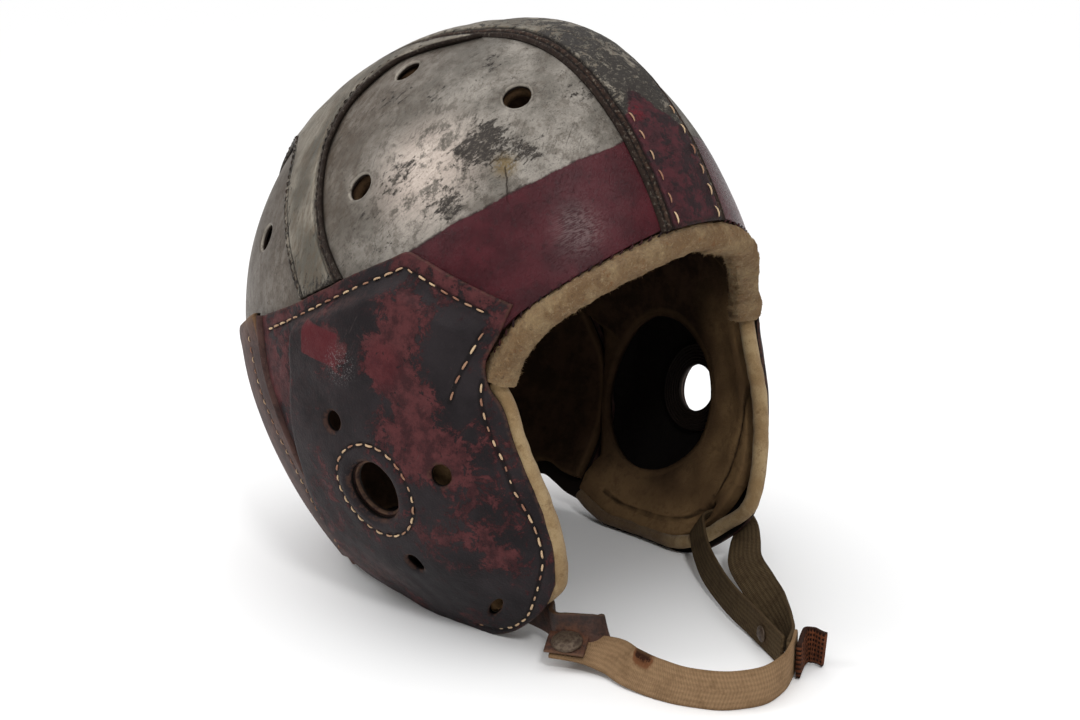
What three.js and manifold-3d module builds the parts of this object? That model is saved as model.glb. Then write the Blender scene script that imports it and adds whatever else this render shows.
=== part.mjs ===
// Leather football helmet, resting tipped back on its two ear flaps and its neck guard.
// Millimetres, +Z up, face opening towards -Y, wearer's left towards +X, floor at Z = 0.
// Every leather piece is cut from one head surface: a stack of ovals with a domed top,
// lifted in or out along its normal. Outlines are drawn in the side view (Y, Z).
import * as THREE from 'three'
import { mergeVertices } from 'three/addons/utils/BufferGeometryUtils.js'
import Module from 'manifold-3d'

const wasm = await Module()
wasm.setup()

// Driving dimensions of the head surface
const FLOOR_Z = 0
const EQUATOR_Z = 107
const TOP_Z = 235
const UNDER_Z = -9 // the cutting solids reach below the floor
const SKY_Z = 260
const HALF_SPACE = 130
const FAR_BACK = 165
const POLE_STOP = 0.985
const WAIST_Y = 19 // widest station of the lower ovals
const APEX_Y = -2 // where the dome is highest
const BACK_SQUARE = 2.05
const DOME = { half: 97.2, front: 117, back: 130, square: 2, sideFlat: 0.3, frontFlat: 0.17, backFlat: -0.24 }
// Ovals below the dome: half width, reach to the front and to the back, squareness of the front
const OVALS = [
  { z: 0, half: 60, front: 117, back: 79, square: 2.6 },
  { z: 21, half: 74, front: 117, back: 91, square: 2.6 },
  { z: 46, half: 87, front: 116.5, back: 104, square: 2.5 },
  { z: 76, half: 96.3, front: 116.5, back: 118.5, square: 2.25 },
  { z: EQUATOR_Z, half: DOME.half, front: DOME.front, back: DOME.back, square: DOME.square },
]

// Layers as lifts from the crown panels' outer face
const GAP = 0.5
const PANEL = { inner: -2.2, outer: 0 }
const STRIP = { inner: GAP, outer: 2.6 }
const FLAP = { inner: GAP, outer: 3 }
const GUARD = { inner: GAP, outer: 3.2 }
const LINER = { inner: -7.4, outer: -3.4 }
const FLAP_LINER = { inner: -6, outer: 0 }
const RING = { inner: -2.2, outer: 0 }
const EAR_BULGE = 5
const HIDDEN_LAP = 12 // how far the panels run on under the flaps and the neck guard

// Openings
const STRIP_HALF = 18.3
const EAR_HOLE = { y: -10, z: 66, r: 12 }
const EAR_RING_R = 20
const LINER_OVAL = { y: 3.5, z: 62, halfY: 34.5, halfZ: 37.5 }
const PANEL_VENT_R = 5.8
const PANEL_VENTS = [
  { panel: 'front', y: -27.7, z: 211.6 },
  { panel: 'front', y: 22.6, z: 175.9 },
  { panel: 'front', y: 39, z: 217.1 },
  { panel: 'rear', y: 84.4, z: 147.9 },
]
const FLAP_VENT_R = 4
const FLAP_VENTS = [{ y: 7, z: 90 }, { y: -40, z: 77 }, { y: -19, z: 37 }]
const STRAP_SLOT = { y: -45, z: 18.8, long: 7, short: 2.8, turn: 125 }

// The crown's front edge, by angle from the front
const BROW = [
  { angle: 53, z: 113 }, { angle: 51, z: 126 }, { angle: 45.5, z: 139.5 }, { angle: 34, z: 152 },
  { angle: 24.5, z: 158.6 }, { angle: 15, z: 163 }, { angle: 0, z: 166.3 },
]
const BROW_STEPS = 12
// Outlines in the side view
const FLAP_BOTTOM = [
  { y: 34, z: 15 }, { y: 26, z: 11.5 }, { y: 14, z: 6 }, { y: 2, z: 0.6 }, { y: -14, z: -1 },
  { y: -32, z: 0.2 }, { y: -46, z: 6 }, { y: -57, z: 14 }, { y: -66, z: 23.5 }, { y: -71, z: 33 },
]
const FLAP_FRONT = [
  { y: -71, z: 33 }, { y: -72.5, z: 46 }, { y: -70.5, z: 63 }, { y: -66, z: 78 },
  { y: -61, z: 91 }, { y: -56, z: 106 }, { y: -52, z: 112 },
]
const FLAP_TOP = [
  { y: -57, z: 140 }, { y: -16.6, z: 155.7 }, { y: 9.4, z: 143.3 }, { y: 36, z: 130.5 }, { y: 66, z: 119.5 },
]
const SEAM = [
  { y: 66, z: 119.5 }, { y: 64, z: 109 }, { y: 60, z: 97 }, { y: 52.5, z: 85 },
  { y: 44.5, z: 71 }, { y: 39, z: 55 }, { y: 36, z: 37 }, { y: 36.5, z: 16 },
]
const SEAM_HALF = 3.4
const PAD_SEAM = { from: 30, to: 103 } // heights between which the linings follow the seam
const GUARD_TOP_BACK = { y: 152, z: 86 }
const GUARD_BOTTOM = [{ y: 40, z: 15 }, { y: 56, z: 10 }, { y: 75, z: 4 }, { y: 92, z: 0 }]
const GUARD_FALL = 3 // the guard's top line still falls behind its last point
const STRIP_TUCK = 2
const NECK_LINER_RISE = 2
const PAD_FRONT = [{ y: -47, z: 109 }, { y: -46, z: 131.5 }]
const PAD_MARGIN = 4 // between the flap's padding and the edge roll
const LINER_RISE = 7 // the crown's lining starts this far above the brow
const PANEL_JOIN = [
  { y: 18, z: 127.2 }, { y: 26, z: 138 }, { y: 42, z: 152 },
  { y: 59, z: 170 }, { y: 76, z: 190 }, { y: 92, z: 212 },
]
const CROSS_FRONT = [
  { y: 13, z: 142.6 }, { y: 30.8, z: 156.8 }, { y: 47.3, z: 175.4 }, { y: 58, z: 191 },
  { y: 60.5, z: 203 }, { y: 54, z: 216 }, { y: 38, z: 223.5 }, { y: 18, z: 228.5 }, { y: -4, z: 232.5 },
]
const CROSS_REAR = [
  { y: 36, z: 131.3 }, { y: 53.5, z: 147.5 }, { y: 71, z: 165 }, { y: 84, z: 177.5 },
  { y: 97, z: 182.5 }, { y: 110, z: 179 }, { y: 121, z: 169 },
  { y: 130, z: 157 }, { y: 138, z: 145 }, { y: 146, z: 129 },
]

// Rolls and welts: tubes along the outlines
const BROW_ROLL = { lift: -4, drop: 6, out: 6.2, across: 5.6 }
const EDGE_ROLL = { lift: -3.1, inset: 3.3, r: 3, clear: 0.3 }
const WELT = { lift: 2.7, r: 2 }

// Sides of round things, and how far a cutting plug reaches through a wall
const ROLL_SIDES = 8
const WELT_SIDES = 6
const VENT_SIDES = 8
const LINER_VENT_SIDES = 6
const EAR_SIDES = 16
const STUD_SIDES = 14
const PLUG_DEPTH = 40

// Sides and rows of the head's grid, finer where the ear bulges
const GRID = { sides: 32, lowRows: 5, highRows: 6 }
const FLAP_GRID = { sides: 48, lowRows: 8, highRows: 6 }
const LINER_GRID = { sides: 24, lowRows: 3, highRows: 6 }

// Chin strap, standing on its edge on the floor. lean turns its width from upright.
const WEB_WIDE = 15
const WEB_THICK = 1.7
const WEBBING = [
  { x: -63.2, y: -71, z: 8.2, lean: 0 }, { x: -57, y: -81, z: 7.8, lean: 0 },
  { x: -54, y: -92, z: 7.6, lean: 0 }, { x: -56.5, y: -106, z: 7.6, lean: 0 },
  { x: -56.5, y: -119, z: 7.6, lean: 0 }, { x: -53, y: -133, z: 7.6, lean: 0 },
  { x: -46, y: -143, z: 7.6, lean: 0 }, { x: -35, y: -149, z: 7.6, lean: 0 },
  { x: -22, y: -148.5, z: 7.6, lean: 0 }, { x: -10, y: -144, z: 7.6, lean: 0 },
  { x: 0, y: -138.5, z: 7.6, lean: 0 },
]

// The strap doubled through the left flap's slot: outside run, slot, inside run
const LOOP_WIDE = 11.5
const LOOP_THICK = 1.6
const SLOT_LOOP = [
  { x: -6.5, y: -139.9, z: 7.6, lean: 0 }, { x: 1, y: -135.4, z: 7.8, lean: 0 },
  { x: 8, y: -128, z: 8.8, lean: 0 }, { x: 18, y: -115, z: 10, lean: 0 },
  { x: 31, y: -97, z: 12, lean: 4 }, { x: 44, y: -80, z: 14, lean: 10 },
  { x: 57, y: -70, z: 15.5, lean: 18 }, { x: 68, y: -61, z: 16.8, lean: 26 },
  { x: 72.5, y: -52, z: 18, lean: 34 }, { x: 70, y: -46.5, z: 18.6, lean: 36 },
  { x: 63, y: -45, z: 18.8, lean: 36 }, { x: 56, y: -44.5, z: 18, lean: 34 },
  { x: 50.5, y: -49, z: 15.3, lean: 24 }, { x: 40, y: -61, z: 10.5, lean: 10 },
  { x: 27, y: -79, z: 7.8, lean: 4 }, { x: 15, y: -99, z: 7, lean: 0 },
  { x: 7, y: -115, z: 6.8, lean: 0 }, { x: 0, y: -127.5, z: 6.8, lean: 0 },
  { x: -5, y: -136.2, z: 6.8, lean: 0 },
]
const TAB_WIDE = 16
const TAB_THICK = 2.2
const TAB = [
  { x: -52, y: -46, z: 14, lean: 0 }, { x: -50.5, y: -54, z: 12.5, lean: 0 },
  { x: -52.5, y: -61, z: 11.5, lean: 0 }, { x: -57.4, y: -66.5, z: 10.5, lean: 0 },
  { x: -59.2, y: -71.5, z: 10, lean: 0 }, { x: -56.4, y: -76.5, z: 10, lean: 0 },
  { x: -52.5, y: -82, z: 10.5, lean: 0 }, { x: -48, y: -82.5, z: 11, lean: 0 },
  { x: -46, y: -79, z: 11.5, lean: 0 },
]
const END_TAB_WIDE = 14
const END_TAB_THICK = 2
const END_TAB = [
  { x: -9, y: -146.4, z: 7.6, lean: 0 }, { x: 1.8, y: -141.1, z: 7.8, lean: -3 },
  { x: 5.8, y: -142.4, z: 7.9, lean: -20 }, { x: 6.2, y: -147.5, z: 7.6, lean: -34 },
]
const PATCH_WIDE = 12
const PATCH_THICK = 1.6
const SNAP_PATCH = [
  { x: -65.2, y: -71.5, z: 7.6, lean: 0 }, { x: -62, y: -77, z: 7.6, lean: 0 },
  { x: -59, y: -83, z: 7.6, lean: 0 },
]
const SNAP = { x: -63.3, y: -77.75, z: 7.6, towards: { x: -0.87, y: -0.5 }, r: 6.2, tall: 2.4 }
const RIVET = { x: 2.3, y: -120.65, z: 6.8, towards: { x: -0.89, y: 0.45 }, r: 3.2, tall: 1.2 }

// Finishes
const FINISH = {
  silver: { color: 0x9a9892, roughness: 0.42, metalness: 0.6 },
  wornSilver: { color: 0x857c6c, roughness: 0.6, metalness: 0.3 },
  blackMaroon: { color: 0x2c1d1e, roughness: 0.55, metalness: 0 },
  maroon: { color: 0x431c22, roughness: 0.5, metalness: 0 },
  tanSuede: { color: 0xb99d6e, roughness: 0.95, metalness: 0 },
  brownSuede: { color: 0x4a3a2a, roughness: 0.95, metalness: 0 },
  webbing: { color: 0x8a7a5c, roughness: 0.9, metalness: 0 },
  brownLeather: { color: 0x3a241b, roughness: 0.6, metalness: 0 },
  tanLeather: { color: 0x7a3f22, roughness: 0.7, metalness: 0 },
  steel: { color: 0x6f6a62, roughness: 0.45, metalness: 0.8 },
}

// One column of a table of heights, by Hermite interpolation, level at the last row
function column(rows, key, z) {
  const last = rows.length - 1
  const slope = (i) => {
    if (i === last) return 0
    const from = rows[Math.max(i - 1, 0)]
    return (rows[i + 1][key] - from[key]) / (rows[i + 1].z - from.z)
  }
  let i = 0
  while (i < last - 1 && z > rows[i + 1].z) i++
  const h = rows[i + 1].z - rows[i].z
  const t = (z - rows[i].z) / h
  return (2 * t ** 3 - 3 * t ** 2 + 1) * rows[i][key] + (t ** 3 - 2 * t ** 2 + t) * h * slope(i)
    + (3 * t ** 2 - 2 * t ** 3) * rows[i + 1][key] + (t ** 3 - t ** 2) * h * slope(i + 1)
}

const signedPower = (v, e) => Math.sign(v) * Math.abs(v) ** e

// The oval at one height
function ovalAt(z) {
  if (z < EQUATOR_Z) {
    const at = (key) => column(OVALS, key, Math.max(z, 0))
    return { half: at('half'), front: at('front'), back: at('back'), square: at('square'), waist: WAIST_Y }
  }
  const t = Math.min((z - EQUATOR_Z) / (TOP_Z - EQUATOR_Z), 1)
  const round = Math.sqrt(1 - t * t)
  return {
    half: DOME.half * round * (1 - DOME.sideFlat * t * t),
    front: DOME.front * round * (1 - DOME.frontFlat * t * t),
    back: DOME.back * round * (1 - DOME.backFlat * t * t),
    square: DOME.square,
    waist: WAIST_Y + (APEX_Y - WAIST_Y) * t * t,
  }
}

// A point of the head surface. The angle is 0 at the front and a quarter turn at +X.
function skin(angle, z) {
  const oval = ovalAt(z)
  const c = Math.cos(angle)
  const square = c > 0 ? oval.square : BACK_SQUARE
  const reach = c > 0 ? oval.front : oval.back
  return new THREE.Vector3(
    oval.half * signedPower(Math.sin(angle), 2 / square),
    oval.waist - reach * signedPower(c, 2 / square),
    z,
  )
}

function outward(angle, z) {
  const turn = 0.03
  const step = 0.4
  const across = skin(angle + turn, z).sub(skin(angle - turn, z))
  const up = skin(angle, z + step).sub(skin(angle, z - step))
  return across.cross(up).normalize()
}

const lifted = (angle, z, lift) => skin(angle, z).addScaledVector(outward(angle, z), lift)

// The angle of the surface point on the +X side that the side view shows at (y, z)
function angleAt(y, z) {
  const oval = ovalAt(z)
  const ahead = y < oval.waist
  const reach = ahead ? oval.front : oval.back
  const square = ahead ? oval.square : BACK_SQUARE
  const c = Math.min(Math.abs(y - oval.waist) / reach, 1) ** (square / 2)
  return Math.acos(ahead ? c : -c)
}

const step01 = (v) => {
  const t = Math.min(Math.max(v, 0), 1)
  return t * t * (3 - 2 * t)
}

// How far the ear bulge lifts the flap: nothing along its borders, full round the ear
function earBulge(y, z) {
  const below = FLAP_TOP[1].z - z - 0.45 * Math.abs(y - FLAP_TOP[1].y)
  const rear = 40 - y
  const front = y + 72
  const bottom = z - 2 + 0.25 * Math.min(y + 20, 0)
  return EAR_BULGE * step01((below - 6) / 14) * step01(rear / 12) * step01(front / 34) * step01(bottom / 40)
}

// A closed body through rings of points, with a fan over each end
function loft(rings) {
  const sides = rings[0].length
  const points = rings.flat()
  const faces = []
  const index = (row, i) => row * sides + (i % sides)
  for (let row = 0; row < rings.length - 1; row++) {
    for (let i = 0; i < sides; i++) {
      const [a, b] = [index(row, i), index(row, i + 1)]
      const [c, d] = [index(row + 1, i + 1), index(row + 1, i)]
      faces.push(a, b, c, a, c, d)
    }
  }
  const centre = (ring) => ring.reduce((sum, p) => sum.add(p), new THREE.Vector3()).divideScalar(sides)
  const first = points.push(centre(rings[0])) - 1
  const last = points.push(centre(rings[rings.length - 1])) - 1
  for (let i = 0; i < sides; i++) {
    faces.push(index(0, i + 1), index(0, i), first)
    faces.push(index(rings.length - 1, i), index(rings.length - 1, i + 1), last)
  }
  const geometry = new THREE.BufferGeometry().setFromPoints(points)
  geometry.setIndex(faces)
  return toSolid(geometry)
}

// A manifold solid from a three.js geometry, turned right side out
function toSolid(geometry) {
  const bare = new THREE.BufferGeometry()
  bare.setAttribute('position', geometry.getAttribute('position').clone())
  bare.setIndex(geometry.getIndex())
  const merged = mergeVertices(bare, 1e-4)
  const vertProperties = Float32Array.from(merged.getAttribute('position').array)
  const triVerts = Uint32Array.from(merged.getIndex().array)
  const solid = new wasm.Manifold(new wasm.Mesh({ numProp: 3, vertProperties, triVerts }))
  if (solid.volume() > 0) return solid
  const turned = triVerts.map((_, k) => triVerts[k - (k % 3) + [0, 2, 1][k % 3]])
  return new wasm.Manifold(new wasm.Mesh({ numProp: 3, vertProperties, triVerts: turned }))
}

function toGeometry(solid) {
  const mesh = solid.getMesh()
  const geometry = new THREE.BufferGeometry()
  geometry.setAttribute('position', new THREE.BufferAttribute(Float32Array.from(mesh.vertProperties), 3))
  geometry.setIndex([...mesh.triVerts])
  geometry.computeVertexNormals()
  return geometry
}

// The whole head as a solid at one lift; raise adds to the lift by place in the side view
function head(lift, { sides, lowRows, highRows }, raise = () => 0) {
  const heights = [UNDER_Z]
  for (let k = 0; k < lowRows; k++) heights.push((EQUATOR_Z * k) / lowRows)
  for (let k = 0; k <= highRows; k++) {
    const rise = Math.sin((Math.PI / 2) * Math.min(k / highRows, POLE_STOP))
    heights.push(EQUATOR_Z + (TOP_Z - EQUATOR_Z) * rise)
  }
  return loft(heights.map((z) => Array.from({ length: sides }, (_, i) => {
    const angle = (2 * Math.PI * (i + 0.5)) / sides
    const at = skin(angle, z)
    return lifted(angle, z, lift + raise(at.y, z))
  })))
}

// A leather wall between two lifts
function wall(layer, grid, raise) {
  return head(layer.outer, grid, raise).subtract(head(layer.inner, grid, raise))
}

const curveThrough = (points) => new THREE.CatmullRomCurve3(points, false, 'centripetal')

const smooth = (rows, perSpan) => {
  const curve = curveThrough(rows.map((r) => new THREE.Vector3(0, r.y, r.z)))
  return curve.getPoints(perSpan * (rows.length - 1)).map((p) => ({ y: p.y, z: p.z }))
}

const shifted = (rows, y, z) => rows.map((r) => ({ y: r.y + y, z: r.z + z }))

// A prism that cuts an outline of the side view through the head, from one X to another
function sidePrism(outline, fromX = -HALF_SPACE, toX = HALF_SPACE) {
  const shape = new THREE.Shape(outline.map((p) => new THREE.Vector2(p.y, p.z)))
  const geometry = new THREE.ExtrudeGeometry(shape, { depth: toX - fromX, bevelEnabled: false })
  const toSideView = new THREE.Matrix4().set(0, 0, 1, fromX, 1, 0, 0, 0, 0, 1, 0, 0, 0, 0, 0, 1)
  return toSolid(geometry.applyMatrix4(toSideView))
}

// An upright or turned oval cutter or disc whose axis follows the surface normal at (y, z)
function plug({ y, z }, long, short, sides, turn = 0) {
  const angle = angleAt(y, z)
  const geometry = new THREE.CylinderGeometry(1, 1, PLUG_DEPTH, sides).scale(long, 1, short)
  geometry.rotateX(Math.PI / 2).rotateZ(turn)
  const normal = outward(angle, z)
  const right = new THREE.Vector3(0, 0, 1).cross(normal).normalize()
  const up = normal.clone().cross(right)
  const place = new THREE.Matrix4().makeBasis(right, up, normal).setPosition(skin(angle, z))
  return toSolid(geometry.applyMatrix4(place))
}

const spotsOn = (rows, lift) => rows.map((r) => {
  const angle = angleAt(r.y, r.z)
  return { at: lifted(angle, r.z, lift), normal: outward(angle, r.z) }
})

// Spots along a line with their sideways directions, moved sideways over the surface
function alongSurface(spots, shift) {
  return spots.map((spot, k) => {
    const ahead = spots[Math.min(k + 1, spots.length - 1)].at
    const behind = spots[Math.max(k - 1, 0)].at
    const tangent = ahead.clone().sub(behind).normalize()
    const side = tangent.clone().cross(spot.normal).normalize()
    return { at: spot.at.clone().addScaledVector(side, shift), side, normal: spot.normal }
  })
}

// A tube of oval section along such a line
function tube(line, out, across, sides, grow = 0) {
  return loft(line.map(({ at, side, normal }) => Array.from({ length: sides }, (_, i) => {
    const a = (2 * Math.PI * (i + 0.5)) / sides
    return at.clone()
      .addScaledVector(normal, (out + grow) * Math.cos(a))
      .addScaledVector(side, (across + grow) * Math.sin(a))
  })))
}

// A flat strap: the rows give its middle and how far its width leans forward from upright
function ribbon(rows, wide, thick, perSpan, grow = 0) {
  const curve = curveThrough(rows.map((r) => new THREE.Vector3(r.x, r.y, r.z)))
  const steps = perSpan * (rows.length - 1)
  return loft(Array.from({ length: steps + 1 }, (_, k) => {
    const u = k / steps
    const at = curve.getPoint(u)
    const tangent = curve.getTangent(u)
    const row = Math.min(Math.floor(u * (rows.length - 1)), rows.length - 2)
    const part = u * (rows.length - 1) - row
    const lean = THREE.MathUtils.degToRad(rows[row].lean * (1 - part) + rows[row + 1].lean * part)
    const width = new THREE.Vector3(0, -Math.sin(lean), Math.cos(lean))
    width.addScaledVector(tangent, -width.dot(tangent)).normalize()
    const face = tangent.clone().cross(width)
    return [[1, 1], [-1, 1], [-1, -1], [1, -1]].map(([w, f]) => at.clone()
      .addScaledVector(width, w * (wide / 2 + grow))
      .addScaledVector(face, f * (thick / 2 + grow)))
  }))
}

function mirrored(geometry) {
  const copy = geometry.clone().scale(-1, 1, 1)
  const index = [...copy.getIndex().array]
  copy.setIndex(index.map((_, k) => index[k - (k % 3) + [0, 2, 1][k % 3]]))
  copy.computeVertexNormals()
  return copy
}

// A low domed stud with its back to a strap
function stud({ x, y, z, towards, r, tall }) {
  const profile = [[0, 0], [r, 0], [r * 0.96, tall * 0.45], [r * 0.6, tall * 0.9], [0, tall]]
  const geometry = new THREE.LatheGeometry(profile.map(([a, b]) => new THREE.Vector2(a, b)), STUD_SIDES)
  const axis = new THREE.Vector3(towards.x, towards.y, 0).normalize()
  geometry.applyQuaternion(new THREE.Quaternion().setFromUnitVectors(new THREE.Vector3(0, 1, 0), axis))
  return toSolid(geometry.translate(x, y, z))
}

// Lines on the surface
const browRows = [...BROW, ...BROW.slice(0, -1).reverse().map((r) => ({ angle: -r.angle, z: r.z }))]
const browCurve = new THREE.CatmullRomCurve3(browRows.map((r) => new THREE.Vector3(r.angle, r.z, 0)))
const browSpots = browCurve.getPoints(BROW_STEPS)
  .map((p) => ({ angle: THREE.MathUtils.degToRad(p.x), z: p.y }))
const browSide = browSpots.slice(0, BROW_STEPS / 2 + 1)
  .map(({ angle, z }) => skin(angle, z)).map(({ y, z }) => ({ y, z }))
const hiddenEdge = shifted([...FLAP_TOP, GUARD_TOP_BACK], 0, -HIDDEN_LAP)
const underHidden = shifted(hiddenEdge, 0, -GAP)
const lastHidden = hiddenEdge.length - 1
const browAbove = browSide.filter((p) => p.z > hiddenEdge[0].z)
const onFloor = (rows) => rows.map((r) => ({ y: r.y, z: Math.max(r.z, FLOOR_Z) }))
const padSeam = (shift) => shifted(SEAM.filter((p) => p.z > PAD_SEAM.from && p.z < PAD_SEAM.to), shift, 0)

// Rolls and welts
const browLine = alongSurface(browSpots.map(({ angle, z }) => ({
  at: lifted(angle, z, BROW_ROLL.lift), normal: outward(angle, z),
})), -BROW_ROLL.drop)
const browRoll = (grow = 0) => tube(browLine, BROW_ROLL.out, BROW_ROLL.across, ROLL_SIDES, grow)
const edgeRows = [...FLAP_BOTTOM, ...FLAP_FRONT.slice(1, -1)]
const edgeLine = alongSurface(spotsOn(edgeRows, EDGE_ROLL.lift), EDGE_ROLL.inset)
for (const { at } of edgeLine) at.z = Math.max(at.z, EDGE_ROLL.r + EDGE_ROLL.clear)
const edgeRoll = tube(edgeLine, EDGE_ROLL.r, EDGE_ROLL.r, ROLL_SIDES)
const padInset = EDGE_ROLL.inset + EDGE_ROLL.r + PAD_MARGIN
const padLine = alongSurface(spotsOn(edgeRows, EDGE_ROLL.lift), padInset)
const weltLine = alongSurface(spotsOn(SEAM, WELT.lift), 0)
const welt = tube(weltLine, WELT.r, WELT.r, WELT_SIDES)

// Chin strap ribbons
const webbing = ribbon(WEBBING, WEB_WIDE, WEB_THICK, 2)
const slotLoop = (grow = 0) => ribbon(SLOT_LOOP, LOOP_WIDE, LOOP_THICK, 2, grow)

// Leather cut from the head
const without = (solid, cuts) => cuts.reduce((left, cut) => left.subtract(cut), solid)
const mirroredSolid = (solid) => toSolid(mirrored(toGeometry(solid)))
const panelWall = wall(PANEL, GRID)
const stripWall = wall(STRIP, GRID)
const panelVent = (v) => plug(v, PANEL_VENT_R, PANEL_VENT_R, VENT_SIDES)
const flapVents = FLAP_VENTS.map((v) => plug(v, FLAP_VENT_R, FLAP_VENT_R, VENT_SIDES))

const frontOfBrow = { y: -HALF_SPACE, z: browSide[browSide.length - 1].z }
const topOfJoin = PANEL_JOIN[PANEL_JOIN.length - 1]
const frontOutline = [
  ...browAbove, frontOfBrow, { y: -HALF_SPACE, z: SKY_Z }, { y: topOfJoin.y, z: SKY_Z },
  ...[...PANEL_JOIN].reverse(), hiddenEdge[2], hiddenEdge[1],
]
const rearOutline = [
  ...shifted(PANEL_JOIN, GAP, 0), { y: topOfJoin.y + GAP, z: SKY_Z }, { y: FAR_BACK, z: SKY_Z },
  { y: FAR_BACK, z: hiddenEdge[lastHidden].z }, ...hiddenEdge.slice(3).reverse(),
]
const drilled = (solid, panel) => without(solid, PANEL_VENTS.filter((v) => v.panel === panel).map(panelVent))
const frontSheet = panelWall.intersect(sidePrism(frontOutline, GAP / 2)).subtract(browRoll(GAP))
const frontPanel = drilled(frontSheet, 'front')
const rearPanel = drilled(panelWall.intersect(sidePrism(rearOutline, GAP / 2)), 'rear')

const centerOutline = [
  { y: -HALF_SPACE, z: frontOfBrow.z }, { y: 0, z: frontOfBrow.z }, { y: 100, z: EQUATOR_Z },
  { y: FAR_BACK, z: GUARD_TOP_BACK.z - STRIP_TUCK }, { y: FAR_BACK, z: SKY_Z }, { y: -HALF_SPACE, z: SKY_Z },
]
const centerStrip = stripWall.intersect(sidePrism(centerOutline, -STRIP_HALF, STRIP_HALF))
  .subtract(browRoll(GAP))
const crossFront = smooth(CROSS_FRONT, 2)
const crossRear = smooth(CROSS_REAR, 2)
const crossOutline = [
  ...crossFront, { y: crossFront[crossFront.length - 1].y, z: SKY_Z },
  { y: crossRear[crossRear.length - 1].y, z: SKY_Z }, ...crossRear.reverse(),
]
const crossStrip = stripWall.intersect(sidePrism(crossOutline, STRIP_HALF + GAP))

const flapOutline = [
  ...onFloor(FLAP_BOTTOM), ...FLAP_FRONT.slice(1), ...FLAP_TOP.slice(0, -1),
  ...shifted(SEAM, -SEAM_HALF, 0).slice(0, -1),
]
const earHole = plug(EAR_HOLE, EAR_HOLE.r, EAR_HOLE.r, EAR_SIDES)
const slotTurn = THREE.MathUtils.degToRad(STRAP_SLOT.turn)
const slot = plug(STRAP_SLOT, STRAP_SLOT.long, STRAP_SLOT.short, VENT_SIDES, slotTurn)
const flap = without(
  wall(FLAP, FLAP_GRID, earBulge).intersect(sidePrism(flapOutline, 0)),
  [browRoll(GAP), earHole, slot, ...flapVents],
)
const earRing = wall(RING, FLAP_GRID, earBulge)
  .intersect(plug(EAR_HOLE, EAR_RING_R, EAR_RING_R, EAR_SIDES)).subtract(earHole)

const guardOutline = [
  ...shifted(SEAM, SEAM_HALF, 0), ...onFloor(GUARD_BOTTOM), { y: FAR_BACK, z: FLOOR_Z },
  { y: FAR_BACK, z: GUARD_TOP_BACK.z - GUARD_FALL }, GUARD_TOP_BACK,
]
const neckGuard = wall(GUARD, GRID).intersect(sidePrism(guardOutline))

// Liners
const linerOutline = [
  ...shifted([...browAbove, frontOfBrow], 0, LINER_RISE),
  { y: -HALF_SPACE, z: SKY_Z }, { y: FAR_BACK, z: SKY_Z },
  { y: FAR_BACK, z: hiddenEdge[lastHidden].z }, ...hiddenEdge.slice(1).reverse(),
]
const linerVents = PANEL_VENTS.map((v) => plug(v, PANEL_VENT_R, PANEL_VENT_R, LINER_VENT_SIDES))
const crownLiner = without(
  wall(LINER, LINER_GRID).intersect(sidePrism(linerOutline)),
  [...linerVents, ...linerVents.map(mirroredSolid)],
)
const padWall = wall(FLAP_LINER, GRID)
const padOutline = [
  ...padLine.map(({ at }) => ({ y: at.y, z: at.z })), ...PAD_FRONT, ...underHidden.slice(1, 4),
  ...padSeam(-GAP / 2),
]
const flapLiner = without(padWall.intersect(sidePrism(padOutline, 0)), [
  plug(LINER_OVAL, LINER_OVAL.halfY, LINER_OVAL.halfZ, EAR_SIDES), slot,
])
const neckOutline = [
  ...padSeam(GAP / 2), ...shifted(onFloor(GUARD_BOTTOM), 0, NECK_LINER_RISE),
  { y: FAR_BACK, z: NECK_LINER_RISE }, { y: FAR_BACK, z: underHidden[lastHidden].z }, underHidden[lastHidden],
]
const neckLiner = padWall.intersect(sidePrism(neckOutline))

// Assembly
const helmet = new THREE.Group()
function add(name, shape, finish) {
  const geometry = shape.isBufferGeometry ? shape : toGeometry(shape)
  const mesh = new THREE.Mesh(geometry, new THREE.MeshStandardMaterial(finish))
  mesh.name = name
  helmet.add(mesh)
}
function addPair(name, left, finish, right = left) {
  add(`${name}_left`, left, finish)
  add(`${name}_right`, mirrored(toGeometry(right)), finish)
}

addPair('crown_panel_front', frontPanel, FINISH.silver)
addPair('crown_panel_rear', rearPanel, FINISH.silver)
add('crown_strip_center', centerStrip, FINISH.wornSilver)
addPair('crown_strip_cross', crossStrip, FINISH.wornSilver)
addPair('ear_flap', flap.subtract(slotLoop(GAP)), FINISH.blackMaroon, flap)
addPair('ear_ring', earRing, FINISH.maroon)
add('neck_guard', neckGuard, FINISH.maroon)
addPair('seam_welt', welt, FINISH.maroon)
add('brow_roll', browRoll(), FINISH.tanSuede)
addPair('edge_roll', edgeRoll, FINISH.tanSuede)
add('liner_crown', crownLiner, FINISH.brownSuede)
addPair('liner_flap', flapLiner.subtract(slotLoop(GAP)), FINISH.brownSuede, flapLiner)
add('liner_neck', neckLiner, FINISH.brownSuede)
add('strap_webbing', webbing, FINISH.webbing)
add('strap_loop_left', slotLoop(), FINISH.webbing)
add('strap_tab_right', ribbon(TAB, TAB_WIDE, TAB_THICK, 2), FINISH.brownLeather)
add('strap_end_tab', ribbon(END_TAB, END_TAB_WIDE, END_TAB_THICK, 2), FINISH.tanLeather)
add('snap_patch_right', ribbon(SNAP_PATCH, PATCH_WIDE, PATCH_THICK, 1), FINISH.brownLeather)
add('snap_cap_right', stud(SNAP), FINISH.steel)
add('strap_rivet_left', stud(RIVET), FINISH.steel)

export default helmet
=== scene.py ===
import math

import bpy
import numpy as np
from mathutils import Matrix


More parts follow.
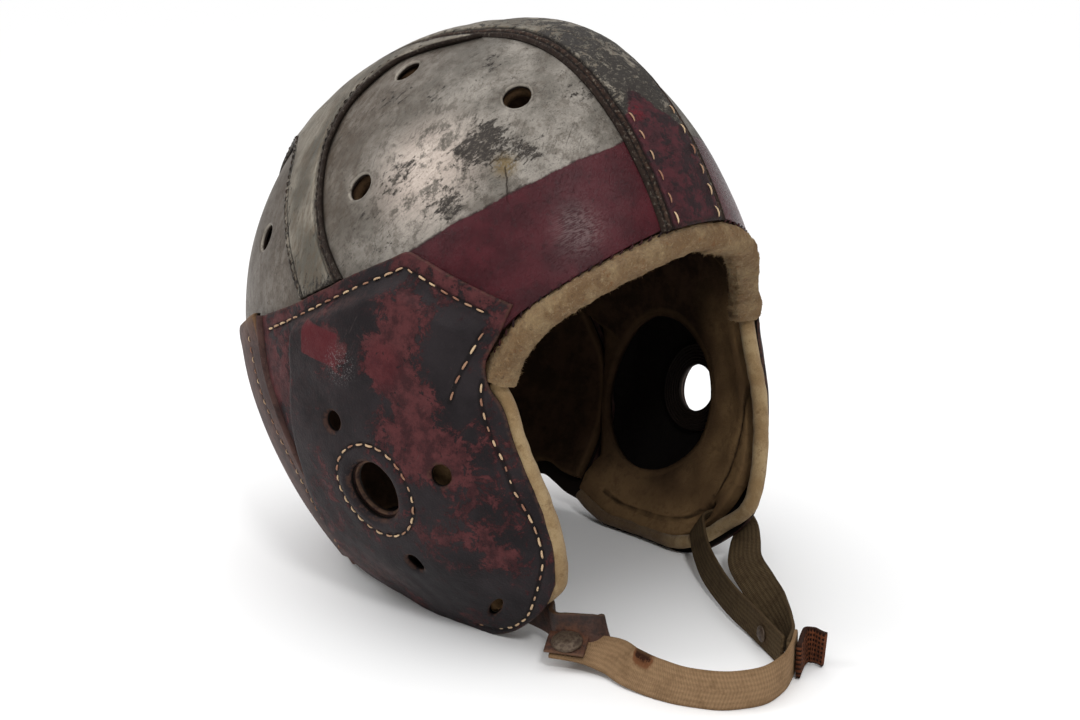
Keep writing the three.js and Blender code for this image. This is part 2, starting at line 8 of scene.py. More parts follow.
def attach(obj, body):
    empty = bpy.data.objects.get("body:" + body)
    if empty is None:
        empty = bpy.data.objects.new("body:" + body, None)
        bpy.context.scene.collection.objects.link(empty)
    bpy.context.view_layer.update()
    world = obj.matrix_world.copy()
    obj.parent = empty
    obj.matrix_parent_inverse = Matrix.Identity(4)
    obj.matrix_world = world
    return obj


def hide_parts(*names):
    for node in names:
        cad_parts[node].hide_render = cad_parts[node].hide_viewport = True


# An old leather football helmet, lying tipped back on its ear flaps and neck guard.
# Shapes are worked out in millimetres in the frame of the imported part, and become metres in put().
# The helmet faces -Y, +X is the wearer's left, the floor is z = 0.

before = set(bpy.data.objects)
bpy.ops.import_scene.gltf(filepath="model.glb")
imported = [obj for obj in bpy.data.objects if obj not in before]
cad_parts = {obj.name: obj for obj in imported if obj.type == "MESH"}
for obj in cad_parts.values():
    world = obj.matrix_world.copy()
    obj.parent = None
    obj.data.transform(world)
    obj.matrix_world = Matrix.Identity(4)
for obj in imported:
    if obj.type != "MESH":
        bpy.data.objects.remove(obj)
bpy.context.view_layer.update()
MM = 0.001

# Head surface: half width, reach forward, reach back and squareness of the front, by height
HEIGHTS = np.array([0.0, 21.0, 46.0, 76.0, 107.0])
OVALS = np.array([
    [60.0, 117.0, 79.0, 2.6],
    [74.0, 117.0, 91.0, 2.6],
    [87.0, 116.5, 104.0, 2.5],
    [96.3, 116.5, 118.5, 2.25],
    [97.2, 117.0, 130.0, 2.0],
])
EQUATOR = 107.0
RISE = 128.0
TOP = EQUATOR + RISE
WAIST = 19.0
APEX_SHIFT = 21.0
SIDE_FLAT, FRONT_FLAT, BACK_FULL = 0.3, 0.17, 0.24
BACK_SQUARE = 2.05
CORE = np.array([0.0, 8.0, 100.0])

# Leather layers: inner and outer lift from the head surface
PANEL = (-2.2, 0.0)
STRIP = (0.5, 2.6)
FLAP = (0.5, 3.0)
GUARD = (0.5, 3.2)
CROWN_LINING = (-7.4, -3.4)
PAD = (-6.0, 0.0)
RING = (-2.2, 0.0)
EAR_BULGE = 5.0

# Openings, in the side view
EAR_HOLE = (-10.0, 66.0)
EAR_HOLE_R = 12.0
EAR_RING_R = 20.0
EAR_RING_INSIDE = 10.6
EAR_OVAL = (3.5, 60.0)
EAR_OVAL_Y, EAR_OVAL_Z = 34.5, 39.5
PANEL_VENT_R = 5.8
FRONT_VENTS = [(-27.7, 211.6), (22.6, 175.9), (39.0, 217.1)]
REAR_VENT = (84.4, 147.9)
FLAP_VENT_R = 4.0
FLAP_VENTS = [(7.0, 90.0), (-40.0, 77.0), (-19.0, 37.0)]
SLOT = (-45.0, 18.8)
SLOT_LONG, SLOT_SHORT, SLOT_TURN = 8.2, 2.1, 125.0

# Outlines: the brow by angle from the front and height, the rest in the side view (y, z)
BROW = [(-53, 113), (-51, 126), (-45.5, 139.5), (-34, 152), (-24.5, 158.6), (-15, 163), (0, 166.3),
        (15, 163), (24.5, 158.6), (34, 152), (45.5, 139.5), (51, 126), (53, 113)]
FLAP_TOP = [(-57, 140), (-37, 148.2), (-22, 154), (-16.6, 155.5), (-11.5, 153.4), (9.4, 143.3), (36, 130.5),
            (64.4, 119.8)]
FLAP_FRONT = [(-57, 140), (-54.3, 128), (-51.8, 118), (-53, 111), (-56.5, 104), (-61, 91), (-66, 78),
              (-70.5, 63), (-72.5, 46), (-71, 33)]
FLAP_BOTTOM = [(-71, 33), (-66, 23.5), (-57, 14), (-46, 6), (-32, 0.8), (-14, 0.1), (2, 1.2), (14, 6),
               (26, 11.5), (34.9, 16.2)]
LEFT_FLAP_BOTTOM = [(-71, 33), (-66, 23.5), (-57, 14), (-46, 6), (-32, 0.8), (-14, 0.1), (2, 0.1), (15, 0.3),
                    (27, 3.2), (34.9, 6.5)]
FLAP_REAR = [(64.4, 119.8), (62.4, 109), (58.4, 97), (50.9, 85), (42.9, 71), (37.4, 55), (34.4, 37),
             (34.9, 16.2)]
SEAM = [(66, 119.5), (64, 109), (60, 97), (52.5, 85), (44.5, 71), (39, 55), (36, 37), (36.5, 16)]
GUARD_SEAM = [(67.6, 119.5), (65.6, 109), (61.6, 97), (54.1, 85), (46.1, 71), (40.6, 55), (37.6, 37),
              (38.1, 16.4)]
GUARD_TOP_FROM, GUARD_TOP_TO = (67.6, 120.2), (152.0, 86.0)
GUARD_BOTTOM = [(38.1, 16.4), (56, 10), (75, 4), (92, 0)]
LEFT_GUARD_BOTTOM = [(38.1, 7.4), (45, 9), (52, 12), (60, 15), (68, 13), (78, 6), (92, 0)]
PANEL_JOIN = [(18, 127.2), (26, 138), (42, 152), (59, 170), (76, 190)]
CROSS_FRONT = [(13, 142.6), (30.8, 156.8), (47.3, 175.4), (58, 191), (60.5, 203), (54, 216), (38, 223.5),
               (18, 228.5), (-4, 232.5)]
CROSS_REAR = [(36, 131.3), (53.5, 147.5), (71, 165), (84, 177.5), (97, 182.5), (110, 179), (121, 169),
              (130, 157), (138, 145), (146, 129)]
STRIP_HALF = 18.3
STRIP_LIFTS = ([0, 12.4, 13.3, 13.8, 14.3, 15.0, 15.7, 16.1, 17.0, 17.8, 18.3],
               [2.75, 2.6, 2.35, 1.5, 1.85, 2.0, 1.6, 1.3, 1.75, 1.3, 0.6])
CROSS_START = 18.8
PANEL_X = 12.5
CROWN_BACK = (143, 80)
PANEL_TOP_JOIN = (86, 206)
PAD_TOP = [(-46, 131), (-30, 138), (-16.6, 143), (9.4, 130.8), (36, 118), (61.5, 107)]
PAD_REAR = [(61.5, 107), (60.2, 97), (52.8, 85), (44.8, 71), (39.3, 55), (36.3, 37)]
PAD_FRONT = [(-46, 131), (-47, 119), (-48.5, 107), (-52, 95), (-57, 80), (-61.5, 64), (-63.6, 48), (-62, 36)]
RIGHT_PAD_BOTTOM = [(-56, 28), (-48, 19.5), (-36, 13), (-22, 9.6), (-6, 9.6), (8, 14), (22, 20.5)]
LEFT_PAD_BOTTOM = [(-56, 25), (-48, 15.5), (-36, 7), (-22, 3.6), (-6, 3), (8, 3.4), (22, 6.4)]
RIGHT_PAD_END, LEFT_PAD_END = (34.6, 26), (34.6, 10.5)
NECK_SEAM = [(62.4, 100), (53.6, 85), (45.6, 71), (40.1, 55), (37.2, 38), (38, 24)]
NECK_BOTTOM = [(38, 24), (54, 15), (74, 8), (88, 3)]
LEFT_NECK_BOTTOM = [(38, 15), (47, 16), (60, 20), (74, 13), (88, 3)]

# Rolls and welt
BROW_ROLL_LIFT, BROW_ROLL_DROP, BROW_ROLL_OUT, BROW_ROLL_ACROSS = -4.0, 6.0, 6.2, 5.6
EDGE_ROLL_LIFT, EDGE_ROLL_R = -3.1, 3.0
EDGE_ROLL_FRONT_LIFT, EDGE_ROLL_AHEAD, EDGE_ROLL_INSET = -1.5, 0.8, 3.3
WELT_LIFT, WELT_R = 2.7, 2.0

# Chin strap: x, y, z of the middle and the lean of the width from upright; widths by part of the length
WEBBING = [(-63.2, -71, 8.2, 74), (-57, -81, 7.8, 70), (-54, -92, 7.6, 54), (-56.5, -106, 7.6, 26),
           (-56.5, -119, 7.6, 10), (-53, -133, 7.6, 0), (-46, -143, 7.6, 0), (-35, -149, 7.6, 0),
           (-22, -148.5, 7.6, 0), (-10, -144, 7.6, 0), (0, -138.5, 7.6, 0)]
WEBBING_WIDE, WEBBING_THICK = 15, 1.7
BURN_AT, BURN_HALF = 54, 7.0
SLOT_LOOP = [(-6.5, -139.9, 7.6, 0), (1, -135.4, 7.8, 8), (8, -128, 9, 28), (18, -115, 10.4, 52),
             (31, -97, 12, 72), (44, -80, 14, 78), (57, -70, 15.5, 76), (68, -61, 16.8, 62),
             (72.5, -52, 18, 46), (70, -46.5, 18.6, 40), (63, -45, 18.8, 36), (56, -44.5, 18, 34),
             (50.5, -49, 15.3, 34), (40, -61, 11, 30), (27, -79, 8.6, 22), (15, -99, 7.6, 12),
             (7, -115, 7, 6), (0, -127.5, 6.8, 0), (-5, -136.2, 6.8, 0)]
SLOT_LOOP_WIDTHS = ((0, 0.12, 0.22, 0.36, 0.46, 0.6, 0.72, 1), (12, 13, 15, 15, 13, 12, 13, 13))
SLOT_LOOP_THICK = 1.6
TAB = [(-52, -46, 14, 0), (-50.5, -54, 12.5, 0), (-52.5, -61, 12, -6), (-57.4, -66.5, 11.5, -14),
       (-58.6, -71.5, 11.5, -20), (-55.4, -76.5, 12, -24), (-50.5, -82, 12.5, -24),
       (-46.4, -82.5, 12.8, -20), (-44.5, -79, 12.8, -16)]
TAB_WIDTHS, TAB_THICK = ((0, 0.62, 0.82, 1), (16, 16, 14, 9)), 2.2
END_TAB = [(-9, -146.4, 7.6, 0), (1.8, -141.1, 7.8, -3), (5.8, -142.4, 7.9, -20), (6.2, -147.5, 7.6, -34)]
END_TAB_WIDE, END_TAB_THICK = 14, 2.0
PATCH = [(-65.6, -70.3, 10.0, 74), (-61.4, -77.0, 9.8, 74), (-57.4, -83.4, 9.5, 72)]
PATCH_WIDE, PATCH_THICK = 12, 1.6
SNAP_AT, SNAP_TOWARDS, SNAP_R, SNAP_TALL = (-61.6, -77.1, 10.5), (-0.24, -0.14, 0.96), 6.0, 2.6
RIVET_AT, RIVET_TOWARDS, RIVET_R, RIVET_TALL = (2.3, -120.65, 6.8), (-0.89, 0.45, 0.0), 3.2, 1.2

# Sewing: spacing, length and width of a stitch
STRIP_SEWING = (7.6, 4.6, 0.8)
CROSS_SEWING = (4.2, 3.0, 0.6)
FLAP_TOP_SEWING = (5.2, 3.7, 0.85)
FLAP_FRONT_SEWING = (5.3, 3.9, 0.9)
FLAP_ROLL_SEWING = (5.3, 4.0, 0.9)
RING_SEWING = (4.8, 3.6, 0.9)
GUARD_SEWING = (4.6, 2.9, 0.6)
BROW_SEWING = (4.3, 2.8, 0.8)


# Plain formulas
def smoothstep(value):
    """0 below 0, 1 above 1, and the cubic 3t^2 - 2t^3 between."""
    t = np.clip(value, 0, 1)
    return t * t * (3 - 2 * t)


def bump(value, at, wide):
    """1 where a value is at one place, falling off to both sides as e^-((value - at) / wide)^2."""
    return np.exp(-((value - at) / wide) ** 2)


def unit(vectors):
    """The same directions with length 1."""
    return vectors / np.maximum(np.linalg.norm(vectors, axis=-1, keepdims=True), 1e-12)


def circle(parts):
    """Angles evenly round a circle, without the last one, which is the first again."""
    return np.linspace(0, 2 * math.pi, parts, endpoint=False)


def tangents(out):
    """The level direction to the right and the direction up that lie at right angles to out."""
    right = unit(np.cross([0, 0, 1.0], out))
    return right, np.cross(out, right)


def spans(values, slopes, at, place):
    """Rows of values known at some places, read between them by the cubic span whose slopes are those
    of the rows at its two ends."""
    k = np.clip(np.searchsorted(at, place, side="right") - 1, 0, len(at) - 2)
    h = (at[k + 1] - at[k])[..., None]
    t = (place - at[k])[..., None] / h
    return ((2 * t**3 - 3 * t**2 + 1) * values[k] + (t**3 - 2 * t**2 + t) * h * slopes[k]
            + (3 * t**2 - 2 * t**3) * values[k + 1] + (t**3 - t**2) * h * slopes[k + 1])


# Head surface
BELOW_FLOOR = -8


def ovals(z):
    """The four columns of the oval table at heights z, by cubic spans whose slopes come from the
    rows on each side, level at the last row."""
    slopes = np.zeros_like(OVALS)
    slopes[0] = (OVALS[1] - OVALS[0]) / (HEIGHTS[1] - HEIGHTS[0])
    slopes[1:-1] = (OVALS[2:] - OVALS[:-2]) / (HEIGHTS[2:] - HEIGHTS[:-2])[:, None]
    return spans(OVALS, slopes, HEIGHTS, np.clip(z, BELOW_FLOOR, EQUATOR))


def oval_at(y, z):
    """Half width, reach, waist, squareness and size of the oval that holds each side-view point.
    Above the equator the ovals shrink as a dome and their middle moves forward."""
    half, front, back, square = np.moveaxis(ovals(z), -1, 0)
    t = np.clip((z - EQUATOR) / RISE, 0, 1.3)
    waist = WAIST - APEX_SHIFT * t**2
    ahead = y < waist
    reach = np.where(ahead, front * (1 - FRONT_FLAT * t**2), back * (1 + BACK_FULL * t**2))
    square = np.where(ahead, square, BACK_SQUARE)
    cap = 1 - t**2
    return half * (1 - SIDE_FLAT * t**2), reach, waist, square, np.sign(cap) * np.abs(cap) ** (square / 2)


def level(points):
    """Below 0 inside the head and above 0 outside: the superellipse |x/a|^n + |y/b|^n less its size."""
    x, y, z = points[..., 0], points[..., 1], points[..., 2]
    half, reach, waist, square, cap = oval_at(y, z)
    return (np.abs(x) / half) ** square + (np.abs(y - waist) / reach) ** square - cap


def normal(points):
    """The outward direction of the head surface: the slope of its level, by small steps either way."""
    step = 0.1
    return unit(np.stack([level(points + step * e) - level(points - step * e) for e in np.eye(3)], -1))


def cast(points, origin=CORE):
    """Moves points along rays from a place inside the head onto its surface; the distance is
    halved in 34 steps."""
    ray = unit(points - origin)
    near = np.zeros(ray.shape[:-1])
    far = np.full(ray.shape[:-1], 260.0)
    for _ in range(34):
        middle = (near + far) / 2
        inside = level(origin + ray * middle[..., None]) < 0
        near = np.where(inside, middle, near)
        far = np.where(inside, far, middle)
    return origin + ray * near[..., None]


def beside(flat):
    """The left-hand surface points that the side view shows at (y, z): the oval solved for x."""
    y, z = flat[..., 0], flat[..., 1]
    half, reach, waist, square, cap = oval_at(y, z)
    across = np.clip(cap - (np.abs(y - waist) / reach) ** square, 0, None)
    return np.stack([half * across ** (1 / square), y, z], -1)


def skin(angle, z):
    """Surface points by angle from the front and height: x = a sin^(2/n), y = waist - b cos^(2/n)."""
    c, s = np.cos(angle), np.sin(angle)
    half, front, back, square = np.moveaxis(ovals(z), -1, 0)
    t = np.clip((z - EQUATOR) / RISE, 0, 1)
    waist = WAIST - APEX_SHIFT * t**2
    round_off = np.sqrt(1 - t**2)
    reach = np.where(c > 0, front * (1 - FRONT_FLAT * t**2), back * (1 + BACK_FULL * t**2)) * round_off
    square = np.where(c > 0, square, BACK_SQUARE)
    half = half * (1 - SIDE_FLAT * t**2) * round_off
    x = half * np.sign(s) * np.abs(s) ** (2 / square)
    y = waist - reach * np.sign(c) * np.abs(c) ** (2 / square)
    return np.stack([x, y, z], -1)


def angle_at(flat):
    """The angle from the front of the left-hand surface point that the side view shows at (y, z)."""
    y, z = flat[..., 0], flat[..., 1]
    _, reach, waist, square, cap = oval_at(y, z)
    size = np.maximum(cap, 1e-9) ** (1 / square)
    c = np.clip(np.abs(y - waist) / (reach * size), 0, 1) ** (square / 2)
    return np.arccos(np.where(y < waist, c, -c))


def ear_bulge(y, z):
    """How far the dome over the ear lifts the flap: soft steps along all its borders, multiplied."""
    below = 155.7 - z - 0.45 * np.abs(y + 16.6)
    bottom = z - 2 + 0.25 * np.minimum(y + 20, 0)
    return (EAR_BULGE * smoothstep((below - 7) / 9) * smoothstep((39 - y) / 8)
            * smoothstep((y + 72) / 34) * smoothstep(bottom / 40))


def lumps(points, size, seed):
    """A gentle unevenness of about -1 to 1: twelve sine waves of one size in seeded directions."""
    random = np.random.default_rng(seed)
    way = unit(random.normal(size=(12, 3)))
    phase = random.uniform(0, 2 * math.pi, 12)
    return np.sin(points @ way.T * (2 * math.pi / size) + phase).mean(-1) * 2.2


# Lines and grids
def line(rows, parts):
    """Points at parts 0 to 1 of a smooth line through rows: cubic spans over chord length, each
    slope from the rows on both sides."""
    rows = np.asarray(rows, float)
    at = np.concatenate([[0], np.cumsum(np.linalg.norm(np.diff(rows, axis=0), axis=1))])
    return spans(rows, np.gradient(rows, at, axis=0), at, np.asarray(parts, float) * at[-1])


def evenly(points, parts):
    """The same polyline at other places, measured along its length."""
    at = np.concatenate([[0], np.cumsum(np.linalg.norm(np.diff(points, axis=0), axis=1))])
    place = np.asarray(parts, float) * at[-1]
    return np.stack([np.interp(place, at, points[:, k]) for k in range(points.shape[1])], 1)


def steps(length, spacing):
    """Parts 0 to 1 at about one spacing, closer at both ends, where a cut edge is rounded."""
    close = np.array([0, 0.22, 0.5, 0.9, 1.5])
    inner = np.linspace(close[-1], length - close[-1], max(int(length / spacing), 4))
    return np.concatenate([close[:-1], inner, length - close[:-1][::-1]]) / length


def patch(low, high, first, last, u, v):
    """A sheet between four border lines: the blend across plus the blend up less that of the corners.
    low and high run with u, first and last run with v."""
    u = u[None, :, None]
    v = v[:, None, None]
    across = (1 - v) * low[None] + v * high[None]
    up = (1 - u) * first[:, None] + u * last[:, None]
    corners = (1 - u) * (1 - v) * low[0] + u * (1 - v) * low[-1] + (1 - u) * v * high[0] + u * v * high[-1]
    return across + up - corners


def arc_over(x, start, end, parts):
    """The line on the head at one x, from above start to above end (y, z), evenly by length."""
    origin = np.array([x, CORE[1], CORE[2]])
    a = math.atan2(start[1] - CORE[2], start[0] - CORE[1])
    b = math.atan2(end[1] - CORE[2], end[0] - CORE[1])
    turn = np.linspace(a, b, 400)
    ahead = np.stack([np.zeros(400), np.cos(turn), np.sin(turn)], 1)
    return evenly(cast(origin + ahead, origin), parts)


def nearest(points, path):
    """The distance of each point from the closest point of a path, in slices to save memory."""
    flat = points.reshape(-1, 3)
    far = [np.sqrt(((part[:, None] - path[None]) ** 2).sum(-1)).min(1)
           for part in np.array_split(flat, max(len(flat) // 4000, 1))]
    return np.concatenate(far).reshape(points.shape[:-1])


# Meshes
class Shape:
    """Points in mm, the faces between them, and numbers kept for each point under a name."""

    def __init__(self, points, quads, tris=(), marks=None):
        self.points = np.asarray(points, float).reshape(-1, 3)
        self.quads = np.asarray(quads, int).reshape(-1, 4)
        self.tris = np.asarray(tris, int).reshape(-1, 3)
        self.marks = dict(marks or {})

    def mirrored(self):
        """The same piece on the other side: x changes sign and each face turns over."""
        return Shape(self.points * (-1, 1, 1), self.quads[:, ::-1], self.tris[:, ::-1], self.marks)

    def __add__(self, other):
        """Both as one shape. A mark that only one of them has is 0 on the other."""
        shift = len(self.points)
        marks = {}
        for name in sorted(set(self.marks) | set(other.marks)):
            one = self.marks.get(name, np.zeros(len(self.points)))
            two = other.marks.get(name, np.zeros(len(other.points)))
            marks[name] = np.concatenate([one, two])
        return Shape(np.concatenate([self.points, other.points]),
                     np.concatenate([self.quads, other.quads + shift]),
                     np.concatenate([self.tris, other.tris + shift]), marks)


def put(name, shape, finish, stands_for=()):
    """Makes a piece of the object from a shape: mesh, marks, finish, body and the nodes it stands for."""
    mesh = bpy.data.meshes.new(name)
    mesh.vertices.add(len(shape.points))
    mesh.vertices.foreach_set("co", (shape.points * MM).astype(np.float32).ravel())
    corners = np.concatenate([shape.quads.ravel(), shape.tris.ravel()])
    fours, threes = len(shape.quads), len(shape.tris)
    starts = np.concatenate([4 * np.arange(fours), 4 * fours + 3 * np.arange(threes)])
    mesh.loops.add(len(corners))
    mesh.loops.foreach_set("vertex_index", corners.astype(np.int32))
    mesh.polygons.add(len(starts))
    mesh.polygons.foreach_set("loop_start", starts.astype(np.int32))
    mesh.update(calc_edges=True)
    for label, values in shape.marks.items():
        if label == "strap":
            layer = mesh.uv_layers.new(name="strap")
            layer.data.foreach_set("uv", values[corners].astype(np.float32).ravel())
        else:
            attribute = mesh.attributes.new(label, "FLOAT", "POINT")
            attribute.data.foreach_set("value", values.astype(np.float32))
    mesh.shade_smooth()
    mesh.materials.append(finish)
    piece = bpy.data.objects.new(name, mesh)
    bpy.context.scene.collection.objects.link(piece)
    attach(piece, "root")
    if stands_for:
        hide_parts(*stands_for)


def put_pair(name, shape, finish, node, right=None):
    """A left piece and a right one, standing for a left and a right node. The right one is the mirror
    image of the same shape, or of the one given as right."""
    put(name + "_left", shape, finish, [node + "_left"])
    put(name + "_right", (right or shape).mirrored(), finish, [node + "_right"])


def edge_distance(base, ring=False):
    """How far each grid point is from the grid's own borders, along its rows and columns. In a ring
    the rows close on themselves, and only the first and the last one are borders."""
    down = np.linalg.norm(np.diff(base, axis=0), axis=-1).cumsum(0)
    down = np.concatenate([np.zeros((1, base.shape[1])), down])
    far = np.minimum(down, down[-1] - down)
    if ring:
        return far
    over = np.linalg.norm(np.diff(base, axis=1), axis=-1).cumsum(1)
    over = np.concatenate([np.zeros((base.shape[0], 1)), over], 1)
    return np.minimum(far, np.minimum(over, over[:, -1:] - over))


OFF_FLOOR = 0.05


class Sheet:
    """A grid of head-surface points to be cut into leather, with its holes."""

    def __init__(self, base, ring=False):
        self.base = base
        self.ring = ring
        rows, columns = base.shape[:2]
        self.keep = np.ones((rows - 1, columns if ring else columns - 1), bool)
        self.edge = edge_distance(base, ring)
        self.border = self.edge

    def pierce(self, flat, long, short=None, turn=0.0, spread=None, side=1):
        """Opens a hole at a side-view point: the square rings of grid points round it become ovals
        that grow back into the grid, and the cells inside the first are dropped."""
        short = long if short is None else short
        centre = beside(np.array(flat, float)) * (side, 1, 1)
        right, up = tangents(normal(centre))
        off = self.base - centre
        row, column = np.unravel_index(np.argmin((off**2).sum(-1)), off.shape[:2])
        rows, columns = off.shape[:2]
        down_rows = self.base[min(row + 1, rows - 1), column] - self.base[row - 1, column]
        over_columns = self.base[row, min(column + 1, columns - 1)] - self.base[row, column - 1]
        spacing = (np.linalg.norm(down_rows) + np.linalg.norm(over_columns)) / 4
        size = max(int(round((long + short) / 2 / spacing)), 3)
        reach = size + (spread or max(4, size // 2 + 2))
        # The grid points near the hole, by the square ring they lie on
        i, j = np.meshgrid(np.arange(rows) - row, np.arange(columns) - column, indexing="ij")
        square_ring = np.maximum(np.abs(i), np.abs(j))
        near = square_ring <= reach
        way = i[near][:, None] * down_rows + j[near][:, None] * over_columns
        heading = unit(np.stack([way @ right, way @ up], -1))
        # Their new places in the plane that touches the surface there
        c, s = math.cos(math.radians(turn)), math.sin(math.radians(turn))
        lengthwise, crosswise = heading @ (c, s), heading @ (-s, c)
        oval = 1 / np.sqrt(np.maximum((lengthwise / long) ** 2 + (crosswise / short) ** 2, 1e-6))
        ring = square_ring[near]
        far = np.where(ring <= size, oval * ring / size, oval + (ring - size) * spacing)
        blend = smoothstep((ring - size) / (reach - size))[:, None]
        before = np.stack([off[near] @ right, off[near] @ up], -1)
        moved = heading * far[:, None] * (1 - blend) + before * blend
        self.base[near] = cast(centre + moved[:, :1] * right + moved[:, 1:] * up)
        # Their distance from the rim of the hole
        off = self.base - centre
        across = np.stack([off @ right, off @ up], -1)
        share = np.sqrt((across @ (c, s) / long) ** 2 + (across @ (-s, c) / short) ** 2)
        from_rim = np.where(near, np.abs(share - 1) * (long + short) / 2, 1e3)
        self.edge = np.minimum(self.edge, from_rim)
        # The cells inside it
        i, j = np.meshgrid(np.arange(self.keep.shape[0]) - row + 0.5,
                           np.arange(self.keep.shape[1]) - column + 0.5, indexing="ij")
        self.keep &= np.maximum(np.abs(i), np.abs(j)) > size

    def cut(self, outer, inner, rounding=0.7, marks=None):
        """The leather itself: an outer and an inner grid at their lifts, with the outer edge rounded
        off as a quarter circle, and a rim along every border of the cells that are kept. Nothing goes
        below the floor."""
        base, rows, columns = self.base, *self.base.shape[:2]
        out = normal(base)
        gone = rounding - np.minimum(self.edge, rounding)
        fall = rounding - np.sqrt(np.maximum(rounding**2 - gone**2, 0))
        upper = base + out * (outer - fall)[..., None]
        lower = base + out * (np.zeros_like(fall) + inner)[..., None]
        for side in (upper, lower):
            side[..., 2] = np.maximum(side[..., 2], OFF_FLOOR)
        # The cells that are kept, turned to face outwards
        index = np.arange(rows * columns).reshape(rows, columns)
        if self.ring:
            index = np.concatenate([index, index[:, :1]], 1)
        cells = np.stack([index[:-1, :-1], index[1:, :-1], index[1:, 1:], index[:-1, 1:]], -1)[self.keep]
        p, n = upper.reshape(-1, 3), out.reshape(-1, 3)
        facing = np.cross(p[cells[:, 1]] - p[cells[:, 0]], p[cells[:, 2]] - p[cells[:, 0]])
        if (facing * n[cells[:, 0]]).sum() < 0:
            cells = cells[:, ::-1]
        # The rim, from each edge that only one of the cells has
        total = rows * columns
        a, b = cells.ravel(), np.roll(cells, -1, 1).ravel()
        free = ~np.isin(a * total + b, b * total + a)
        a, b = a[free], b[free]
        rim = np.stack([b, a, a + total, b + total], 1)
        quads = np.concatenate([cells, cells[:, ::-1] + total, rim])
        # The marks of both sides, then only the points in use
        every = {"edge": self.edge, "border": self.border, "inner": np.zeros_like(self.edge)}
        every.update(marks or {})
        kept = {}
        for name, values in every.items():
            values = np.broadcast_to(values, self.edge.shape).ravel()
            kept[name] = np.concatenate([values, values + 1 if name == "inner" else values])
        used, quads = np.unique(quads, return_inverse=True)
        points = np.concatenate([p, lower.reshape(-1, 3)])[used]
        return Shape(points, quads.reshape(-1, 4), marks={k: v[used] for k, v in kept.items()})


def closed_skin(points, marks=None):
    """A closed surface over a grid whose columns run round: a fan from the middle of the first and of
    the last row closes it, and its faces turn away from the middles of the rows."""
    rows, around = points.shape[:2]
    index = np.arange(rows * around).reshape(rows, around)
    ahead = np.roll(index, -1, 1)
    quads = np.stack([index[:-1], ahead[:-1], ahead[1:], index[1:]], -1).reshape(-1, 4)
    first = np.stack([ahead[0], index[0], np.full(around, rows * around)], 1)
    last = np.stack([index[-1], ahead[-1], np.full(around, rows * around + 1)], 1)
    tris = np.concatenate([first, last])
    flat = points.reshape(-1, 3)
    radial = flat[quads[:, 0]] - np.repeat(points.mean(1)[:-1], around, 0)
    facing = np.cross(flat[quads[:, 1]] - flat[quads[:, 0]], flat[quads[:, 2]] - flat[quads[:, 0]])
    if (facing * radial).sum() < 0:
        quads, tris = quads[:, ::-1], tris[:, ::-1]
    ends = np.stack([points[0].mean(0), points[-1].mean(0)])
    return Shape(np.concatenate([flat, ends]), quads, tris, marks)


def tube(centres, out, side, reach_out, reach_side, swell):
    """A closed roll: an oval section carried along a line. swell scales each section point, a row of
    them for each place on the line."""
    turn = circle(swell.shape[1])
    return closed_skin(centres[:, None] + out[:, None] * (reach_out * np.cos(turn) * swell)[..., None]
                       + side[:, None] * (reach_side * np.sin(turn) * swell)[..., None])


def sideways(points, out):
    """Unit directions across a line lying on a surface, square to the way out of it."""
    return unit(np.cross(np.gradient(points, axis=0), out))


def ribbon(rows, wide, thick, spacing, corner=0.3, wave=0.0, seed=0, rolled=False):
    """A flat strap: a rounded oblong section carried along the route, its width turned from upright
    by the lean, towards -Y or, when rolled, about the strap's own run. wide is one width, or parts of
    the length and the widths there. The strap layout keeps the place along and across in mm."""
    rows = np.asarray(rows, float)
    length = np.linalg.norm(np.diff(rows[:, :3], axis=0), axis=1).sum()
    parts = np.linspace(0, 1, max(int(length / spacing), 8))
    at = line(rows, parts)
    widths = np.interp(parts, *wide) if isinstance(wide, tuple) else np.full(len(parts), float(wide))
    centres, lean = at[:, :3], np.radians(at[:, 3])
    ahead = unit(np.gradient(centres, axis=0))
    width = np.stack([np.zeros_like(lean), -np.sin(lean), np.cos(lean)], 1)
    if rolled:
        width = np.stack([-ahead[:, 1] * np.sin(lean), ahead[:, 0] * np.sin(lean), np.cos(lean)], 1)
    width = unit(width - (width * ahead).sum(1, keepdims=True) * ahead)
    face = np.cross(ahead, width)
    turn = circle(36)
    across = (np.sign(np.cos(turn)) * np.abs(np.cos(turn)) ** corner)[None] * widths[:, None] / 2
    through = np.sign(np.sin(turn)) * np.abs(np.sin(turn)) ** corner * thick / 2
    points = centres[:, None] + width[:, None] * across[..., None] + face[:, None] * through[None, :, None]
    if wave:
        points = points + face[:, None] * (lumps(points * (1, 1, 0.6), 16, seed) * wave)[..., None]
    place = np.stack([np.repeat(parts * length, len(turn)), across.ravel()], 1)
    place = np.concatenate([place, [[0, 0], [length, 0]]])
    rim = np.abs(place[:, 1]) - np.append(np.repeat(widths, len(turn)), widths[[0, -1]]) / 2 + 2.0
    return closed_skin(points, {"strap": place, "rim": rim})


